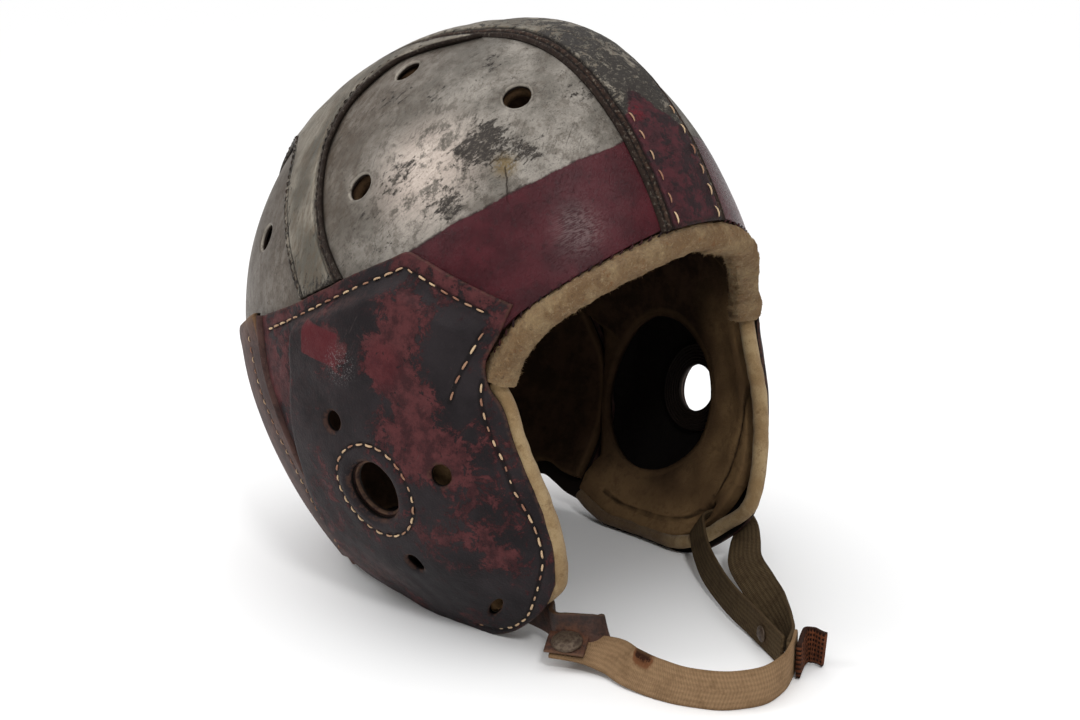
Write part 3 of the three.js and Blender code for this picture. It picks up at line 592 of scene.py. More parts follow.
def stitches(path, out, pitch, long, wide, tall=0.55, seed=0, slant=0.0):
    """A run of thread: a small bowed capsule for each stitch, both ends sunk in the leather, placed
    along the path with a little seeded unevenness."""
    random = np.random.default_rng(seed)
    length = np.linalg.norm(np.diff(path, axis=0), axis=1).sum()
    count = max(int(length / pitch), 1)
    parts = (np.arange(count) + 0.5 + random.uniform(-0.06, 0.06, count)) / count
    centres, up = evenly(path, parts), unit(evenly(out, parts))
    delta = 0.5 / max(length, 1)
    ahead = unit(evenly(path, np.minimum(parts + delta, 1)) - evenly(path, np.maximum(parts - delta, 0)))
    side = np.cross(up, ahead)
    swing = slant + random.normal(0, 0.06, count)
    turned = ahead * np.cos(swing)[:, None] + side * np.sin(swing)[:, None]
    side = np.cross(up, turned)
    part = np.array([-1, -0.8, -0.35, 0.35, 0.8, 1])[:, None]
    thick = np.array([0.25, 0.8, 1, 1, 0.8, 0.25])[:, None]
    turn = circle(6)[None]
    lengths = part * long / 2 + 0 * turn
    widths = wide / 2 * thick * np.cos(turn)
    heights = tall * (1 - 1.35 * part**2) + wide / 2 * 0.8 * thick * np.sin(turn)
    size = random.uniform(0.85, 1.08, (count, 1, 1, 1))
    lengths, widths, heights = lengths[None, ..., None], widths[None, ..., None], heights[None, ..., None]
    points = centres[:, None, None] + size * (lengths * turned[:, None, None] + widths * side[:, None, None]
                                              + heights * up[:, None, None])
    rings, around = len(part), 6
    index = np.arange(rings * around).reshape(rings, around)
    ahead_index = np.roll(index, -1, 1)
    quads = np.stack([index[:-1], ahead_index[:-1], ahead_index[1:], index[1:]], -1).reshape(-1, 4)
    caps = np.concatenate([index[0, [3, 2, 1, 0]], index[0, [5, 4, 3, 0]],
                           index[-1, [0, 1, 2, 3]], index[-1, [0, 3, 4, 5]]]).reshape(-1, 4)
    quads = np.concatenate([quads, caps])
    every = quads[None] + (np.arange(count) * rings * around)[:, None, None]
    tone = np.repeat(random.uniform(0, 1, count), rings * around)
    return Shape(points, every, marks={"tone": tone})


def fuzz(points, out, long, seed):
    """Loose suede fibres: a thin bent blade of two quads at each point, leaning a seeded way and a
    little downwards."""
    fall = (0, 0, -0.3)
    random = np.random.default_rng(seed)
    count = len(points)
    lean = unit(out + random.normal(0, 0.6, (count, 3)) + fall)
    bend = unit(lean + random.normal(0, 0.5, (count, 3)))
    size = (long * random.uniform(0.4, 1.2, count))[:, None]
    side = unit(np.cross(lean, random.normal(size=(count, 3))))
    root = points - out * 0.25
    knee = root + lean * size * 0.55
    tip = knee + bend * size * 0.45
    blade = np.stack([root - side * 0.09, root + side * 0.09, knee - side * 0.07, knee + side * 0.07,
                      tip - side * 0.02, tip + side * 0.02], 1)
    quads = np.array([[0, 1, 3, 2], [2, 3, 5, 4]])
    every = quads[None] + (np.arange(count) * 6)[:, None, None]
    return Shape(blade, every)


def stud(at, towards, radius, tall, dish):
    """A domed stud turned about its axis: a profile of radius and height, with a shallow lip and its
    middle sunk by a share of the height."""
    profile = np.array([[0.55, 0], [1.0, 0.0], [1.02, 0.12], [1.0, 0.3], [0.93, 0.42], [0.88, 0.44],
                        [0.84, 0.5], [0.7, 0.78], [0.5, 0.92], [0.25, 1.0 - dish / 2], [0.05, 1.0 - dish]])
    axis = unit(np.array(towards, float))
    right, up = tangents(axis)
    turn = circle(40)
    around = right * np.cos(turn)[:, None] + up * np.sin(turn)[:, None]
    outward, upward = profile[:, None, :1] * radius, profile[:, None, 1:] * tall
    return closed_skin(np.array(at) + outward * around + upward * axis)


# Materials
class Value:
    """A number, vector or colour on its way through a material. Sums and products add Math nodes."""

    def __init__(self, finish, socket):
        self.finish = finish
        self.socket = socket

    def _math(self, operation, *operands):
        return self.finish.add("ShaderNodeMath", {"operation": operation}, dict(enumerate(operands)))

    def __add__(self, other):
        return self._math("ADD", self, other)

    __radd__ = __add__

    def __sub__(self, other):
        return self._math("SUBTRACT", self, other)

    def __rsub__(self, other):
        return self._math("SUBTRACT", other, self)

    def __mul__(self, other):
        return self._math("MULTIPLY", self, other)

    __rmul__ = __mul__

    def __truediv__(self, other):
        return self._math("DIVIDE", self, other)

    def larger(self, other):
        return self._math("MAXIMUM", self, other)

    def size(self):
        """The value without its sign."""
        return self._math("ABSOLUTE", self)

    def sine(self):
        return self._math("SINE", self)

    def ribs(self):
        """The sine of the value, moved to run from 0 to 1."""
        return self.sine() * 0.5 + 0.5

    def rise(self, low, high):
        """0 at low, 1 at high, soft between."""
        return self.finish.add("ShaderNodeMapRange", {"interpolation_type": "SMOOTHSTEP"},
                               {"Value": self, "From Min": low, "From Max": high})

    def part(self, name):
        """X, Y or Z of a vector."""
        return self.finish.add("ShaderNodeSeparateXYZ", {}, {0: self}, name)


def tint(*screen):
    """A colour given as red, green and blue from 0 to 255 on a screen, as linear light."""
    return tuple(((c / 255 + 0.055) / 1.055) ** 2.4 if c > 10 else c / 3294.6 for c in screen) + (1.0,)


class Finish:
    """One material under construction. place is the point in mm in the frame of the part."""

    def __init__(self, name, roughness=0.6, specular=0.3):
        self.material = bpy.data.materials.new(name)
        self.material.use_nodes = True
        self.tree = self.material.node_tree
        self.shader = self.tree.nodes["Principled BSDF"]
        self.shader.inputs["Roughness"].default_value = roughness
        self.shader.inputs["Specular IOR Level"].default_value = specular
        where = self.add("ShaderNodeTexCoord", {}, {}, "Object")
        self.place = self.add("ShaderNodeVectorMath", {"operation": "SCALE"}, {0: where, "Scale": 1 / MM})

    def add(self, kind, settings, inputs, output=0):
        """Adds a node, with its settings before its inputs, and gives one of its outputs."""
        node = self.tree.nodes.new(kind)
        for name, value in settings.items():
            setattr(node, name, value)
        for name, value in inputs.items():
            if isinstance(value, Value):
                self.tree.links.new(value.socket, node.inputs[name])
            else:
                node.inputs[name].default_value = value
        return Value(self, node.outputs[output])

    def noise(self, size, detail=3.0, rough=0.55, place=None, twist=0.0):
        """Cloudy values round 0.5 whose features are about size mm."""
        return self.add("ShaderNodeTexNoise", {}, {"Vector": place or self.place, "Scale": 1 / size,
                        "Detail": detail, "Roughness": rough, "Distortion": twist})

    def drift(self, size, reach, detail=3.0, rough=0.55):
        """Cloudy values round 0, reach from low to high, whose features are about size mm."""
        return self.noise(size, detail, rough) * reach - reach / 2

    def crumble(self, reach):
        """Fine ragged unevenness round 0 that breaks up the edge of a worn patch."""
        return self.drift(1.6, reach, 7, 0.82)

    def cells(self, size):
        """The distance from seeded spots about size mm apart."""
        return self.add("ShaderNodeTexVoronoi", {}, {"Vector": self.place, "Scale": 1 / size})

    def streaks(self, way, long, wide, detail=3.0, rough=0.6, twist=0.0):
        """Cloudy values whose features are long mm by wide mm, running one way: noise on the place in
        units of wide mm, drawn out to long mm along the way."""
        run = self.add("ShaderNodeVectorMath", {"operation": "DOT_PRODUCT"}, {0: self.place, 1: way}, "Value")
        shorter = run * (1 / long - 1 / wide)
        drawn = self.add("ShaderNodeVectorMath", {"operation": "SCALE"}, {0: way, "Scale": shorter})
        plain = self.add("ShaderNodeVectorMath", {"operation": "SCALE"}, {0: self.place, "Scale": 1 / wide})
        place = self.add("ShaderNodeVectorMath", {"operation": "ADD"}, {0: plain, 1: drawn})
        return self.noise(1.0, detail, rough, place, twist)

    def spots(self, rows):
        """The sum of soft spots, each a point, a radius in mm and a weight."""
        total = 0.0
        for at, radius, weight in rows:
            total = self.spot(at, radius, 0.6) * weight + total
        return total

    def spot(self, at, radius, soft):
        """1 within radius mm of a point, fading over a share of the radius on both sides of it."""
        far = self.add("ShaderNodeVectorMath", {"operation": "DISTANCE"}, {0: self.place, 1: at}, "Value")
        return far.rise(radius * (1 + soft), radius * (1 - soft))

    def mark(self, name):
        """A number kept on the mesh."""
        return self.add("ShaderNodeAttribute", {"attribute_name": name}, {}, "Fac")

    def inside(self):
        """1 on the side of the leather that faces the head."""
        return self.mark("inner").rise(0.2, 0.6)

    def layout(self):
        """The place along and across a strap, in mm."""
        place = self.add("ShaderNodeUVMap", {"uv_map": "strap"}, {})
        return place.part("X"), place.part("Y")

    def mix(self, share, one, two):
        """One colour turning into two as the share goes from 0 to 1."""
        return self.add("ShaderNodeMix", {"data_type": "RGBA"}, {0: share, 6: one, 7: two}, 2)

    def shade(self, colour, share):
        """A colour multiplied by a grey share."""
        return self.add("ShaderNodeVectorMath", {"operation": "SCALE"}, {0: colour, "Scale": share})

    def done(self, colour, roughness, metallic, height, depth):
        """Links the colour, roughness, metal and a bump of depth mm, and gives the material."""
        relief = self.add("ShaderNodeBump", {}, {"Distance": depth * MM, "Height": height})
        links = {"Base Color": colour, "Roughness": roughness, "Metallic": metallic, "Normal": relief}
        for name, value in links.items():
            if value is not None:
                self.tree.links.new(value.socket, self.shader.inputs[name])
        return self.material


# Directions of streaks, then worn spots: place, radius and weight
SLASH = (0.45, -0.55, 0.70)
GRAIN_UP = (0.62, 0.2, 0.76)
ALONG_BROW = (0.66, -0.6, 0.45)
DOWN_STRIP = (0.2, -0.6, 0.77)
SCUFFS = [((-71, 4, 181), 10, 0.12), ((-70, -20, 175), 9, 0.11), ((-70, -27, 172), 6, 0.1),
          ((-54, -25, 196), 9, 0.11), ((-59, -23, 191), 8, 0.12), ((-50, -27, 200), 6, 0.1),
          ((-52, -38, 191), 10, 0.11), ((-46, -43, 193), 5, 0.1), ((-48, 37, 206), 7, 0.1),
          ((-47, 26, 209), 6, 0.1), ((-45, 9, 211), 5, 0.11), ((-31, -8, 222), 6, 0.1),
          ((-81, 12, 166), 7, 0.09), ((-84, -2, 158), 6, 0.09), ((-20, -44, 211), 7, 0.1)]


# The band across the front: how its upper edge falls backwards and sideways, and its height
BAND_BACK, BAND_SIDE, BAND_HEIGHT = 0.7065, 0.0605, 150.45
BAND_STEEP = math.hypot(1, BAND_BACK, BAND_SIDE)


def scuffed_silver(f, x, y, z):
    """Old silver paint over leather: grime, a painted highlight on the near front, ragged dark scuffs,
    scratches, nicks and pits, a yellow stain and a crack. Gives its colour, how dark it is, its grime and its
    crack."""
    cloud = f.noise(26, 5, 0.62)
    grime = f.noise(6, 9, 0.78, twist=0.2)
    brushed = f.streaks(SLASH, 14.0, 0.7, 6, 0.72)
    silver = f.mix(cloud.rise(0.36, 0.62), tint(98, 93, 86), tint(138, 132, 124))
    silver = f.mix(grime.rise(0.48, 0.6) * 0.55, silver, tint(80, 72, 64))
    streaky = f.streaks(GRAIN_UP, 9.0, 3.2, 8, 0.75)
    rear = y.rise(-2, 52)
    silver = f.mix(rear * (streaky.rise(0.4, 0.62) * 0.42 + 0.4), silver, tint(80, 68, 57))
    # Painted highlight: a pale warm patch on the near front panel, kept off where the grime is.
    light = f.spot((-66.5, -8.0, 184.0), 19, 0.8) * (1 - grime.rise(0.5, 0.6))
    silver = f.mix(light * 0.55, silver, tint(206, 190, 178))
    silver = f.shade(silver, brushed * 0.9 + f.noise(0.45, 2, 0.5) * 0.35 + 0.4)

    near_side = x.rise(4, -4)
    ragged = f.streaks(SLASH, 5.0, 2.4, 9, 0.8, 0.5)
    crumbs = f.streaks(ALONG_BROW, 2.2, 0.9, 6, 0.8)
    scuffs = (ragged + f.spots(SCUFFS) * near_side + crumbs * 0.16 - 0.08).rise(0.645, 0.66)
    strays = (ragged + f.drift(13, 0.34) + crumbs * 0.2 - 0.1).rise(0.655, 0.67)
    slash = f.streaks(SLASH, 13.0, 0.4, 4, 0.65, 0.1).rise(0.63, 0.66) * f.noise(9, 3).rise(0.46, 0.54)
    hairs = f.streaks(GRAIN_UP, 10.0, 0.25, 3).rise(0.61, 0.66) * f.noise(12, 3).rise(0.46, 0.56)
    nicks = f.streaks(ALONG_BROW, 4.5, 0.4, 4, 0.7).rise(0.62, 0.65) * f.noise(8, 3).rise(0.44, 0.5)
    pits = f.noise(0.9, 3, 0.7).rise(0.62, 0.67) * f.noise(7, 4, 0.7).rise(0.44, 0.56)
    marks = (slash * 0.9).larger(hairs * 0.7).larger(nicks * 0.85).larger(pits * 0.75)
    dark = scuffs.larger(strays * 0.9).larger(marks)
    silver = f.mix(dark * 0.94, silver, tint(44, 39, 36))
    left_over = f.streaks(SLASH, 3.0, 1.2, 8, 0.8).rise(0.52, 0.6)
    silver = f.mix(scuffs * left_over * 0.65, silver, tint(122, 114, 104))
    stain = f.spot((-54.2, -38.4, 187.8), 4.0, 0.8) * f.noise(1.8, 5, 0.7).rise(0.36, 0.5)
    silver = f.mix(stain * 0.75, silver, tint(104, 84, 44))
    crack = (y + (z - 181.0) * -0.52 + 42.0 + f.drift(3, 1.6)).size().rise(0.3, 0.08)
    crack = crack * z.rise(173.5, 175.5) * z.rise(188, 186) * x.rise(-50, -53)
    return f.mix(crack * 0.7, silver, tint(40, 32, 26)), dark, grime, crack


def maroon_band(f):
    """The painted band across the front: cloudy maroon with pale chips, dusk and a soft painted highlight.
    Gives its colour and its chips."""
    maroon = f.mix(f.noise(14, 5, 0.6).rise(0.34, 0.66), tint(54, 19, 24), tint(72, 27, 33))
    chip = f.streaks(ALONG_BROW, 4.0, 0.5, 4, 0.7, 0.2).rise(0.66, 0.71) * f.noise(9, 3).rise(0.44, 0.58)
    maroon = f.mix(chip * 0.7, maroon, tint(128, 100, 98))
    dusk = f.noise(3.0, 6, 0.75).rise(0.55, 0.66)
    maroon = f.mix(dusk * 0.6, maroon, tint(40, 22, 24))
    # Painted highlight: a pale streaky patch on the band, in front of the near flap.
    painted_highlight = f.spot((-45.5, -68.0, 166.5), 8, 0.8) * f.streaks(ALONG_BROW, 9.0, 0.5, 3, 0.6).rise(0.4, 0.62)
    return f.mix(painted_highlight * 0.3, maroon, tint(150, 130, 128)), chip


def silver_paint():
    """The crown panels: old silver paint, rubbed along its borders and pale round its vents, with a
    maroon band across the front below a slanted line."""
    f = Finish("silver_leather", specular=0.16)
    x, y, z = f.place.part("X"), f.place.part("Y"), f.place.part("Z")
    above = (z + y * BAND_BACK + x.size() * BAND_SIDE - BAND_HEIGHT) / BAND_STEEP
    above = above + f.drift(22, 4, 2) + f.drift(1.6, 1.3, 4, 0.7)
    behind = y.rise(20, 24)
    silver_share = above.rise(-0.3, 0.3).larger(behind)
    silver, dark, grime, crack = scuffed_silver(f, x, y, z)
    from_border = f.mark("border")
    rubbed = from_border.rise(5.5, 0.4) * f.noise(1.8, 7, 0.78).rise(0.44, 0.54)
    silver = f.mix(rubbed * 0.85, silver, tint(50, 40, 34))
    rim = f.mark("edge").rise(1.0, 0.4) * from_border.rise(3, 5) * f.noise(3, 5, 0.7).rise(0.36, 0.5)
    silver = f.mix(rim * 0.45, silver, tint(176, 168, 156))
    maroon, chip = maroon_band(f)
    colour = f.mix(silver_share, maroon, silver)
    border = above.size().rise(0.8, 0.1) * (1 - behind) * f.noise(3, 4).rise(0.35, 0.55)
    colour = f.mix(border * 0.7, colour, tint(34, 20, 20))
    colour = f.mix(from_border.rise(1.1, 0.2) * 0.6, colour, tint(26, 16, 15))
    inside = f.inside()
    colour = f.mix(inside, colour, tint(34, 25, 19))
    roughness = silver_share * (0.2 + dark * 0.25) + 0.2 + grime * 0.14
    metal = silver_share * (1 - dark * 0.9) * 0.5 * (1 - inside)
    height = f.noise(0.5, 4, 0.65) * 0.3 + grime * 0.8 - dark * 0.35 - crack * 1.5 - chip * 0.3
    return f.done(colour, roughness, metal, height, 0.34)


def worn_silver():
    """The crown's strips: dirty silver paint rubbed off in black scuffs, raw brown bevelled edges,
    maroon over the lower front."""
    f = Finish("worn_silver_leather", specular=0.14)
    x, y, z = f.place.part("X"), f.place.part("Y"), f.place.part("Z")
    strip = f.mark("center")
    grime = f.noise(6, 9, 0.78, twist=0.2)
    silver = f.mix(f.noise(20, 3).rise(0.36, 0.62), tint(92, 88, 79), tint(138, 131, 119))
    streaky = f.streaks(GRAIN_UP, 14.0, 2.0, 7, 0.75)
    silver = f.mix(streaky.rise(0.42, 0.6) * 0.6, silver, tint(92, 78, 63))
    chunks = f.streaks(DOWN_STRIP, 11.0, 6.0, 11, 0.8, 0.6)
    ahead = y.rise(30, -60)
    top_dirt = (chunks + ahead * 0.12 + f.crumble(0.2)).rise(0.555, 0.575)
    flecks = f.streaks(GRAIN_UP, 4.0, 1.6, 8, 0.8, 0.4) + f.drift(15, 0.24)
    cross_dirt = (flecks + f.mark("border").rise(7, 1) * 0.09).rise(0.6, 0.62)
    scratch = f.streaks(DOWN_STRIP, 12.0, 0.5, 4, 0.65).rise(0.64, 0.69) * f.noise(11, 3).rise(0.42, 0.56)
    dirt = (top_dirt * strip).larger(cross_dirt * (1 - strip)).larger(scratch * 0.8)
    silver = f.mix(dirt * 0.94, silver, tint(40, 36, 34))
    silver = f.mix(dirt * f.noise(1.3, 5, 0.78).rise(0.56, 0.62) * 0.7, silver, tint(122, 116, 104))
    above = z + y * BAND_BACK - BAND_HEIGHT
    limit = 22 - (x + 5).size() * 1.3 + f.drift(6, 16, 4, 0.7)
    maroon_share = (limit - above).rise(-0.8, 0.8) * y.rise(-20, -40) * strip
    maroon = f.mix(f.noise(5, 5, 0.65).rise(0.4, 0.6), tint(72, 34, 39), tint(56, 30, 34))
    # Dark patches over the maroon, more of them towards +x, the wearer's left.
    dark_patches = (f.noise(6, 8, 0.75) + x * 0.004).rise(0.48, 0.53)
    maroon = f.mix(dark_patches * 0.85, maroon, tint(36, 27, 29))
    maroon = f.mix(f.noise(1.8, 5, 0.75).rise(0.63, 0.68) * 0.6, maroon, tint(104, 66, 66))
    vivid = f.spot((-9.0, -63.0, 205.5), 4, 0.5) * f.noise(2.4, 6, 0.75).rise(0.44, 0.52)
    maroon = f.mix(vivid * 0.8, maroon, tint(92, 22, 32))
    colour = f.mix(maroon_share, silver, maroon)
    raw = f.mark("raw")
    brown = f.mix(f.noise(1.6, 4).rise(0.35, 0.65), tint(34, 25, 21), tint(64, 47, 38))
    brown = f.mix(f.noise(1.5, 5, 0.75).rise(0.55, 0.6) * 0.7, brown, tint(112, 104, 93))
    colour = f.mix(raw, colour, brown)
    groove = f.mark("groove")
    colour = f.mix(groove * 0.95, colour, tint(15, 12, 11))
    edge = f.mark("edge").rise(2.6, 0.3) * f.noise(1.6, 6, 0.78).rise(0.4, 0.52)
    colour = f.mix(edge * 0.8, colour, tint(32, 25, 21))
    inside = f.inside()
    colour = f.mix(inside, colour, tint(34, 25, 19))
    bright = (1 - dirt) * (1 - maroon_share) * (1 - raw) * (1 - inside)
    roughness = 0.42 + dirt * 0.12 + raw * 0.3
    height = f.noise(0.8, 5, 0.7) * 0.5 + grime * 0.8 - dirt * 0.3 - groove * 0.9
    return f.done(colour, roughness, bright * 0.42, height, 0.4)


MAROON_SPOTS = [((-101.2, 13, 121), 10, 0.15), ((-101, 3, 119.5), 6, 0.1), ((-93.8, -17, 133), 11, 0.1),
                ((-91, -28, 130), 11, 0.11), ((-97.4, -17.4, 115.5), 9, 0.15), ((-95.6, -24, 113), 7, 0.1),
                ((-93, -31.9, 105.8), 9, 0.1), ((-97, -22, 95), 8, 0.08), ((-94.3, -32.7, 88.8), 12, 0.14),
                ((-91, -42, 82), 10, 0.13), ((-84.8, -55, 76), 6, 0.08), ((-86, -50, 56), 9, 0.1),
                ((-78, -58, 44), 7, 0.08), ((-89, -34, 48), 7, 0.06), ((-87.7, -6, 38), 7, 0.05),
                ((-103, 44, 104), 16, 0.1), ((-100, 54, 92), 12, 0.12), ((-99, 36, 66), 6, 0.06),
                ((-100, 18, 62), 8, 0.07)]
BLACK_SPOTS = [((-101, 25, 106), 13, 0.14), ((-100, 0, 136), 13, 0.1), ((-99, 32, 72), 12, 0.12),
               ((-82, 0, 24), 16, 0.08), ((-90, -14, 44), 8, 0.07), ((-101.7, 6, 88), 15, 0.12),
               ((-94, -6, 147), 9, 0.1), ((-88, -46, 122), 14, 0.14), ((-86, -46, 104), 8, 0.12),
               ((-98, -8, 102), 9, 0.08), ((-85, -20, 22), 18, 0.1), ((-75, -52, 24), 14, 0.1),
               ((-100, 30, 125), 9, 0.08), ((-90, -36, 70), 7, 0.08), ((-97, -6, 66), 15, 0.07)]


def flap_leather():
    """Ear flaps: charcoal over maroon, rubbed through in ragged patches, paler along the dome's edge, with a
    painted sheen on the dome.
    """
    f = Finish("black_maroon_leather", specular=0.1)
    y, z = f.place.part("Y"), f.place.part("Z")
    wide = f.noise(9, 11, 0.76, twist=0.5)
    share = wide + f.spots(MAROON_SPOTS) - f.spots(BLACK_SPOTS) + f.crumble(0.4)
    block = (y - 14).size().rise(10.6, 9.8) * (z - 119.5 - (y - 14) * 0.12).size().rise(6.8, 6.0)
    block = block * f.place.part("X").rise(0, -1)
    strip_top = f.mark("border").rise(6.5, 5.5) * z.rise(112, 116)
    share = share + (block * 0.3).larger(strip_top * 0.11)
    maroon_share = share.rise(0.545, 0.556)
    faint = share.rise(0.47, 0.545) * 0.22
    black = f.mix(f.noise(22, 4).rise(0.35, 0.65), tint(27, 23, 25), tint(39, 34, 36))
    red = f.mix(f.noise(6, 6, 0.7).rise(0.38, 0.62), tint(52, 27, 29), tint(80, 42, 43))
    bright_red = block.larger(f.spot((-97.4, -17.4, 115.5), 9, 0.4) * 0.5)
    red = f.mix(bright_red * 0.75, red, tint(80, 24, 30))
    colour = f.mix(maroon_share.larger(faint), black, red)
    fleck = f.noise(0.9, 4, 0.75).rise(0.64, 0.7) * f.noise(8, 3).rise(0.46, 0.6)
    colour = f.mix(fleck * 0.5, colour, tint(92, 66, 66))
    # Painted sheen: pale specks on the near flap's dome, where the leather is also made smoother.
    gloss_and_painted_sheen = f.spot((-101.3, 2, 113), 6, 0.9) * f.noise(0.7, 4, 0.8).rise(0.55, 0.62)
    colour = f.mix(gloss_and_painted_sheen * 0.7, colour, tint(150, 146, 146))
    rub = f.mark("rub") * f.noise(3.0, 6, 0.75).rise(0.4, 0.58)
    colour = f.mix(rub * 0.6, colour, tint(84, 60, 57))
    edge = f.mark("edge")
    worn_edge = edge.rise(1.6, 0.2) * f.noise(3.5, 5, 0.7).rise(0.42, 0.56)
    colour = f.mix(worn_edge * 0.6, colour, tint(80, 56, 46))
    seam = f.mark("seam")
    colour = f.mix(seam.rise(1.5, 0.3) * 0.75, colour, tint(14, 11, 11))
    inside = f.inside()
    colour = f.mix(inside, colour, tint(15, 11, 9))
    scrape = f.streaks((0.2, -0.4, 0.9), 12.0, 0.4).rise(0.67, 0.72) * f.noise(16, 3).rise(0.46, 0.58)
    scrape = scrape * (1 - inside)
    colour = f.mix(scrape * 0.5, colour, tint(92, 82, 80))
    roughness = 0.46 + f.noise(5, 4) * 0.2 - gloss_and_painted_sheen * 0.15 + inside * 0.3
    height = (f.cells(1.0) * 0.25 + f.noise(0.5, 3) * 0.3 + wide * 1.0 - seam.rise(1.4, 0.2) * 0.9
              + maroon_share * 0.25 - scrape * 0.2 + f.noise(3.5, 4, 0.6) * 0.6)
    return f.done(colour, roughness, None, height, 0.36)


def guard_leather():
    """Neck guard, rings and welts: dark brown-maroon leather, rubbed brown at its torn top edge."""
    f = Finish("maroon_leather", specular=0.12)
    cloud = f.noise(20, 6, 0.66)
    colour = f.mix(cloud.rise(0.35, 0.65), tint(52, 34, 32), tint(80, 57, 51))
    colour = f.mix(f.noise(4, 7, 0.75).rise(0.5, 0.6) * 0.7, colour, tint(38, 28, 26))
    torn = f.mark("torn") * f.noise(3, 6, 0.75).rise(0.32, 0.5)
    colour = f.mix(torn * 0.85, colour, tint(118, 90, 58))
    edge = f.mark("edge")
    colour = f.mix(edge.rise(1.4, 0.2) * f.noise(3, 4).rise(0.35, 0.55) * 0.7, colour, tint(116, 88, 66))
    seam = f.mark("seam")
    colour = f.mix(seam.rise(1.5, 0.3) * 0.6, colour, tint(20, 13, 13))
    scratch = f.streaks((0.3, 0.5, 0.8), 9.0, 0.45, 4).rise(0.65, 0.7)
    colour = f.mix(scratch * 0.45, colour, tint(112, 88, 80))
    inside = f.inside()
    colour = f.mix(inside, colour, tint(24, 17, 13))
    height = (f.cells(1.2) * 0.25 + f.noise(0.6, 3) * 0.3 + cloud * 0.8 - seam.rise(1.4, 0.2) * 0.8
              - scratch * 0.2)
    return f.done(colour, 0.52 + f.noise(6, 3) * 0.15, None, height, 0.28)


def suede(name, light, mid, dark, stain, nap, depth):
    """Nubuck and suede: a cloudy nap of fibres about nap mm, standing depth mm, with handled patches
    and stains, and painted shade where its mark says."""
    f = Finish(name, roughness=0.95, specular=0.05)
    f.shader.inputs["Sheen Weight"].default_value = 0.12
    cloud = f.noise(12, 5, 0.65)
    colour = f.mix(cloud.rise(0.38, 0.6), mid, light)
    colour = f.mix(f.noise(2.4, 6, 0.75).rise(0.48, 0.66) * 0.6, colour, mid)
    colour = f.mix(f.noise(5, 6, 0.75).rise(0.56, 0.66) * 0.6, colour, stain)
    # Painted shade: the rolls darkened where their mark says, on the side turned to the helmet and towards
    # the back.
    colour = f.mix(f.mark("dirt") * 0.8, colour, dark)
    fibre = f.noise(nap, 6, 0.8)
    flaked = f.noise(nap * 2.6, 8, 0.85, twist=0.6)
    coarse = min(0.3 * depth, 0.7)
    colour = f.mix(flaked.rise(0.54, 0.62) * coarse, colour, tint(206, 180, 138))
    colour = f.mix(flaked.rise(0.45, 0.36) * coarse, colour, dark)
    height = fibre * 0.6 + flaked * 1.3 + cloud * 0.5
    return f.done(f.shade(colour, fibre * 1.1 + 0.45), None, None, height, depth)


def lining():
    """Inside: dark brown suede, with painted shade in the crown and towards the back, seams pressed in."""
    f = Finish("brown_suede", roughness=0.95, specular=0.04)
    z = f.place.part("Z")
    cloud = f.noise(20, 6, 0.66)
    colour = f.mix(cloud.rise(0.38, 0.62), tint(98, 76, 53), tint(132, 105, 73))
    colour = f.mix(f.noise(5, 7, 0.76).rise(0.44, 0.62) * 0.5, colour, tint(78, 58, 41))
    # Painted shade: a darker brown laid over the suede where the shade mark says and higher up in the crown.
    painted_shade_colour = f.mix(f.noise(14, 6, 0.7).rise(0.38, 0.62), tint(36, 26, 20), tint(58, 42, 32))
    colour = f.mix(f.mark("shade").rise(0, 1) * 0.95, colour, painted_shade_colour)
    colour = f.mix(z.rise(100, 132) * 0.85, colour, painted_shade_colour)
    seam = f.mark("seam")
    colour = f.mix(seam.rise(1.8, 0.3) * 0.75, colour, tint(12, 8, 7))
    edge = f.mark("edge")
    # Painted highlight: a faint pale line along the lining's edges.
    colour = f.mix(edge.rise(2.2, 0.3) * 0.2, colour, tint(112, 88, 60))
    height = f.noise(0.6, 5, 0.75) * 0.5 + f.noise(6, 5, 0.6) * 1.2 - seam.rise(1.6, 0.2) * 1.2
    return f.done(colour, None, None, height, 0.6)


def strap_weave(name, light, dark, dirt, ribs, picks):
    """Woven strap: ribs along the strap crossed by fine picks, each by its spacing in mm, from the
    strap's own layout."""
    f = Finish(name, roughness=0.9, specular=0.06)
    run, over = f.layout()
    uneven = f.noise(2.5, 4, 0.7) * 1.6
    rib = (over * (2 * math.pi / ribs) + uneven * 0.5).ribs()
    slant = (over * (math.pi / ribs)).size()
    pick = (run * (2 * math.pi / picks) + slant + uneven).ribs()
    weave = rib * 0.3 + pick * 0.35 + f.noise(0.7, 4, 0.7) * 0.7 - 0.15
    worn = f.noise(7, 6, 0.75)
    colour = f.mix(weave, dark, light)
    colour = f.mix(worn.rise(0.45, 0.66) * 0.55, colour, dirt)
    colour = f.mix(f.noise(0.8, 5, 0.8).rise(0.48, 0.68) * 0.5, colour, light)
    burn = f.mark("burn") * (f.noise(2.2, 6, 0.78).rise(0.36, 0.5) * 0.5 + 0.5)
    colour = f.mix(burn.rise(0.15, 0.4) * 0.8, colour, tint(98, 54, 30))
    colour = f.mix(burn.rise(0.5, 0.7) * 0.9, colour, tint(40, 23, 17))
    edge = f.mark("rim").rise(0.6, 1.9)
    colour = f.mix(edge * 0.4, colour, dirt)
    return f.done(colour, None, None, weave * 0.7 + f.noise(0.6, 4) * 0.6 - burn * 0.8, 0.45)


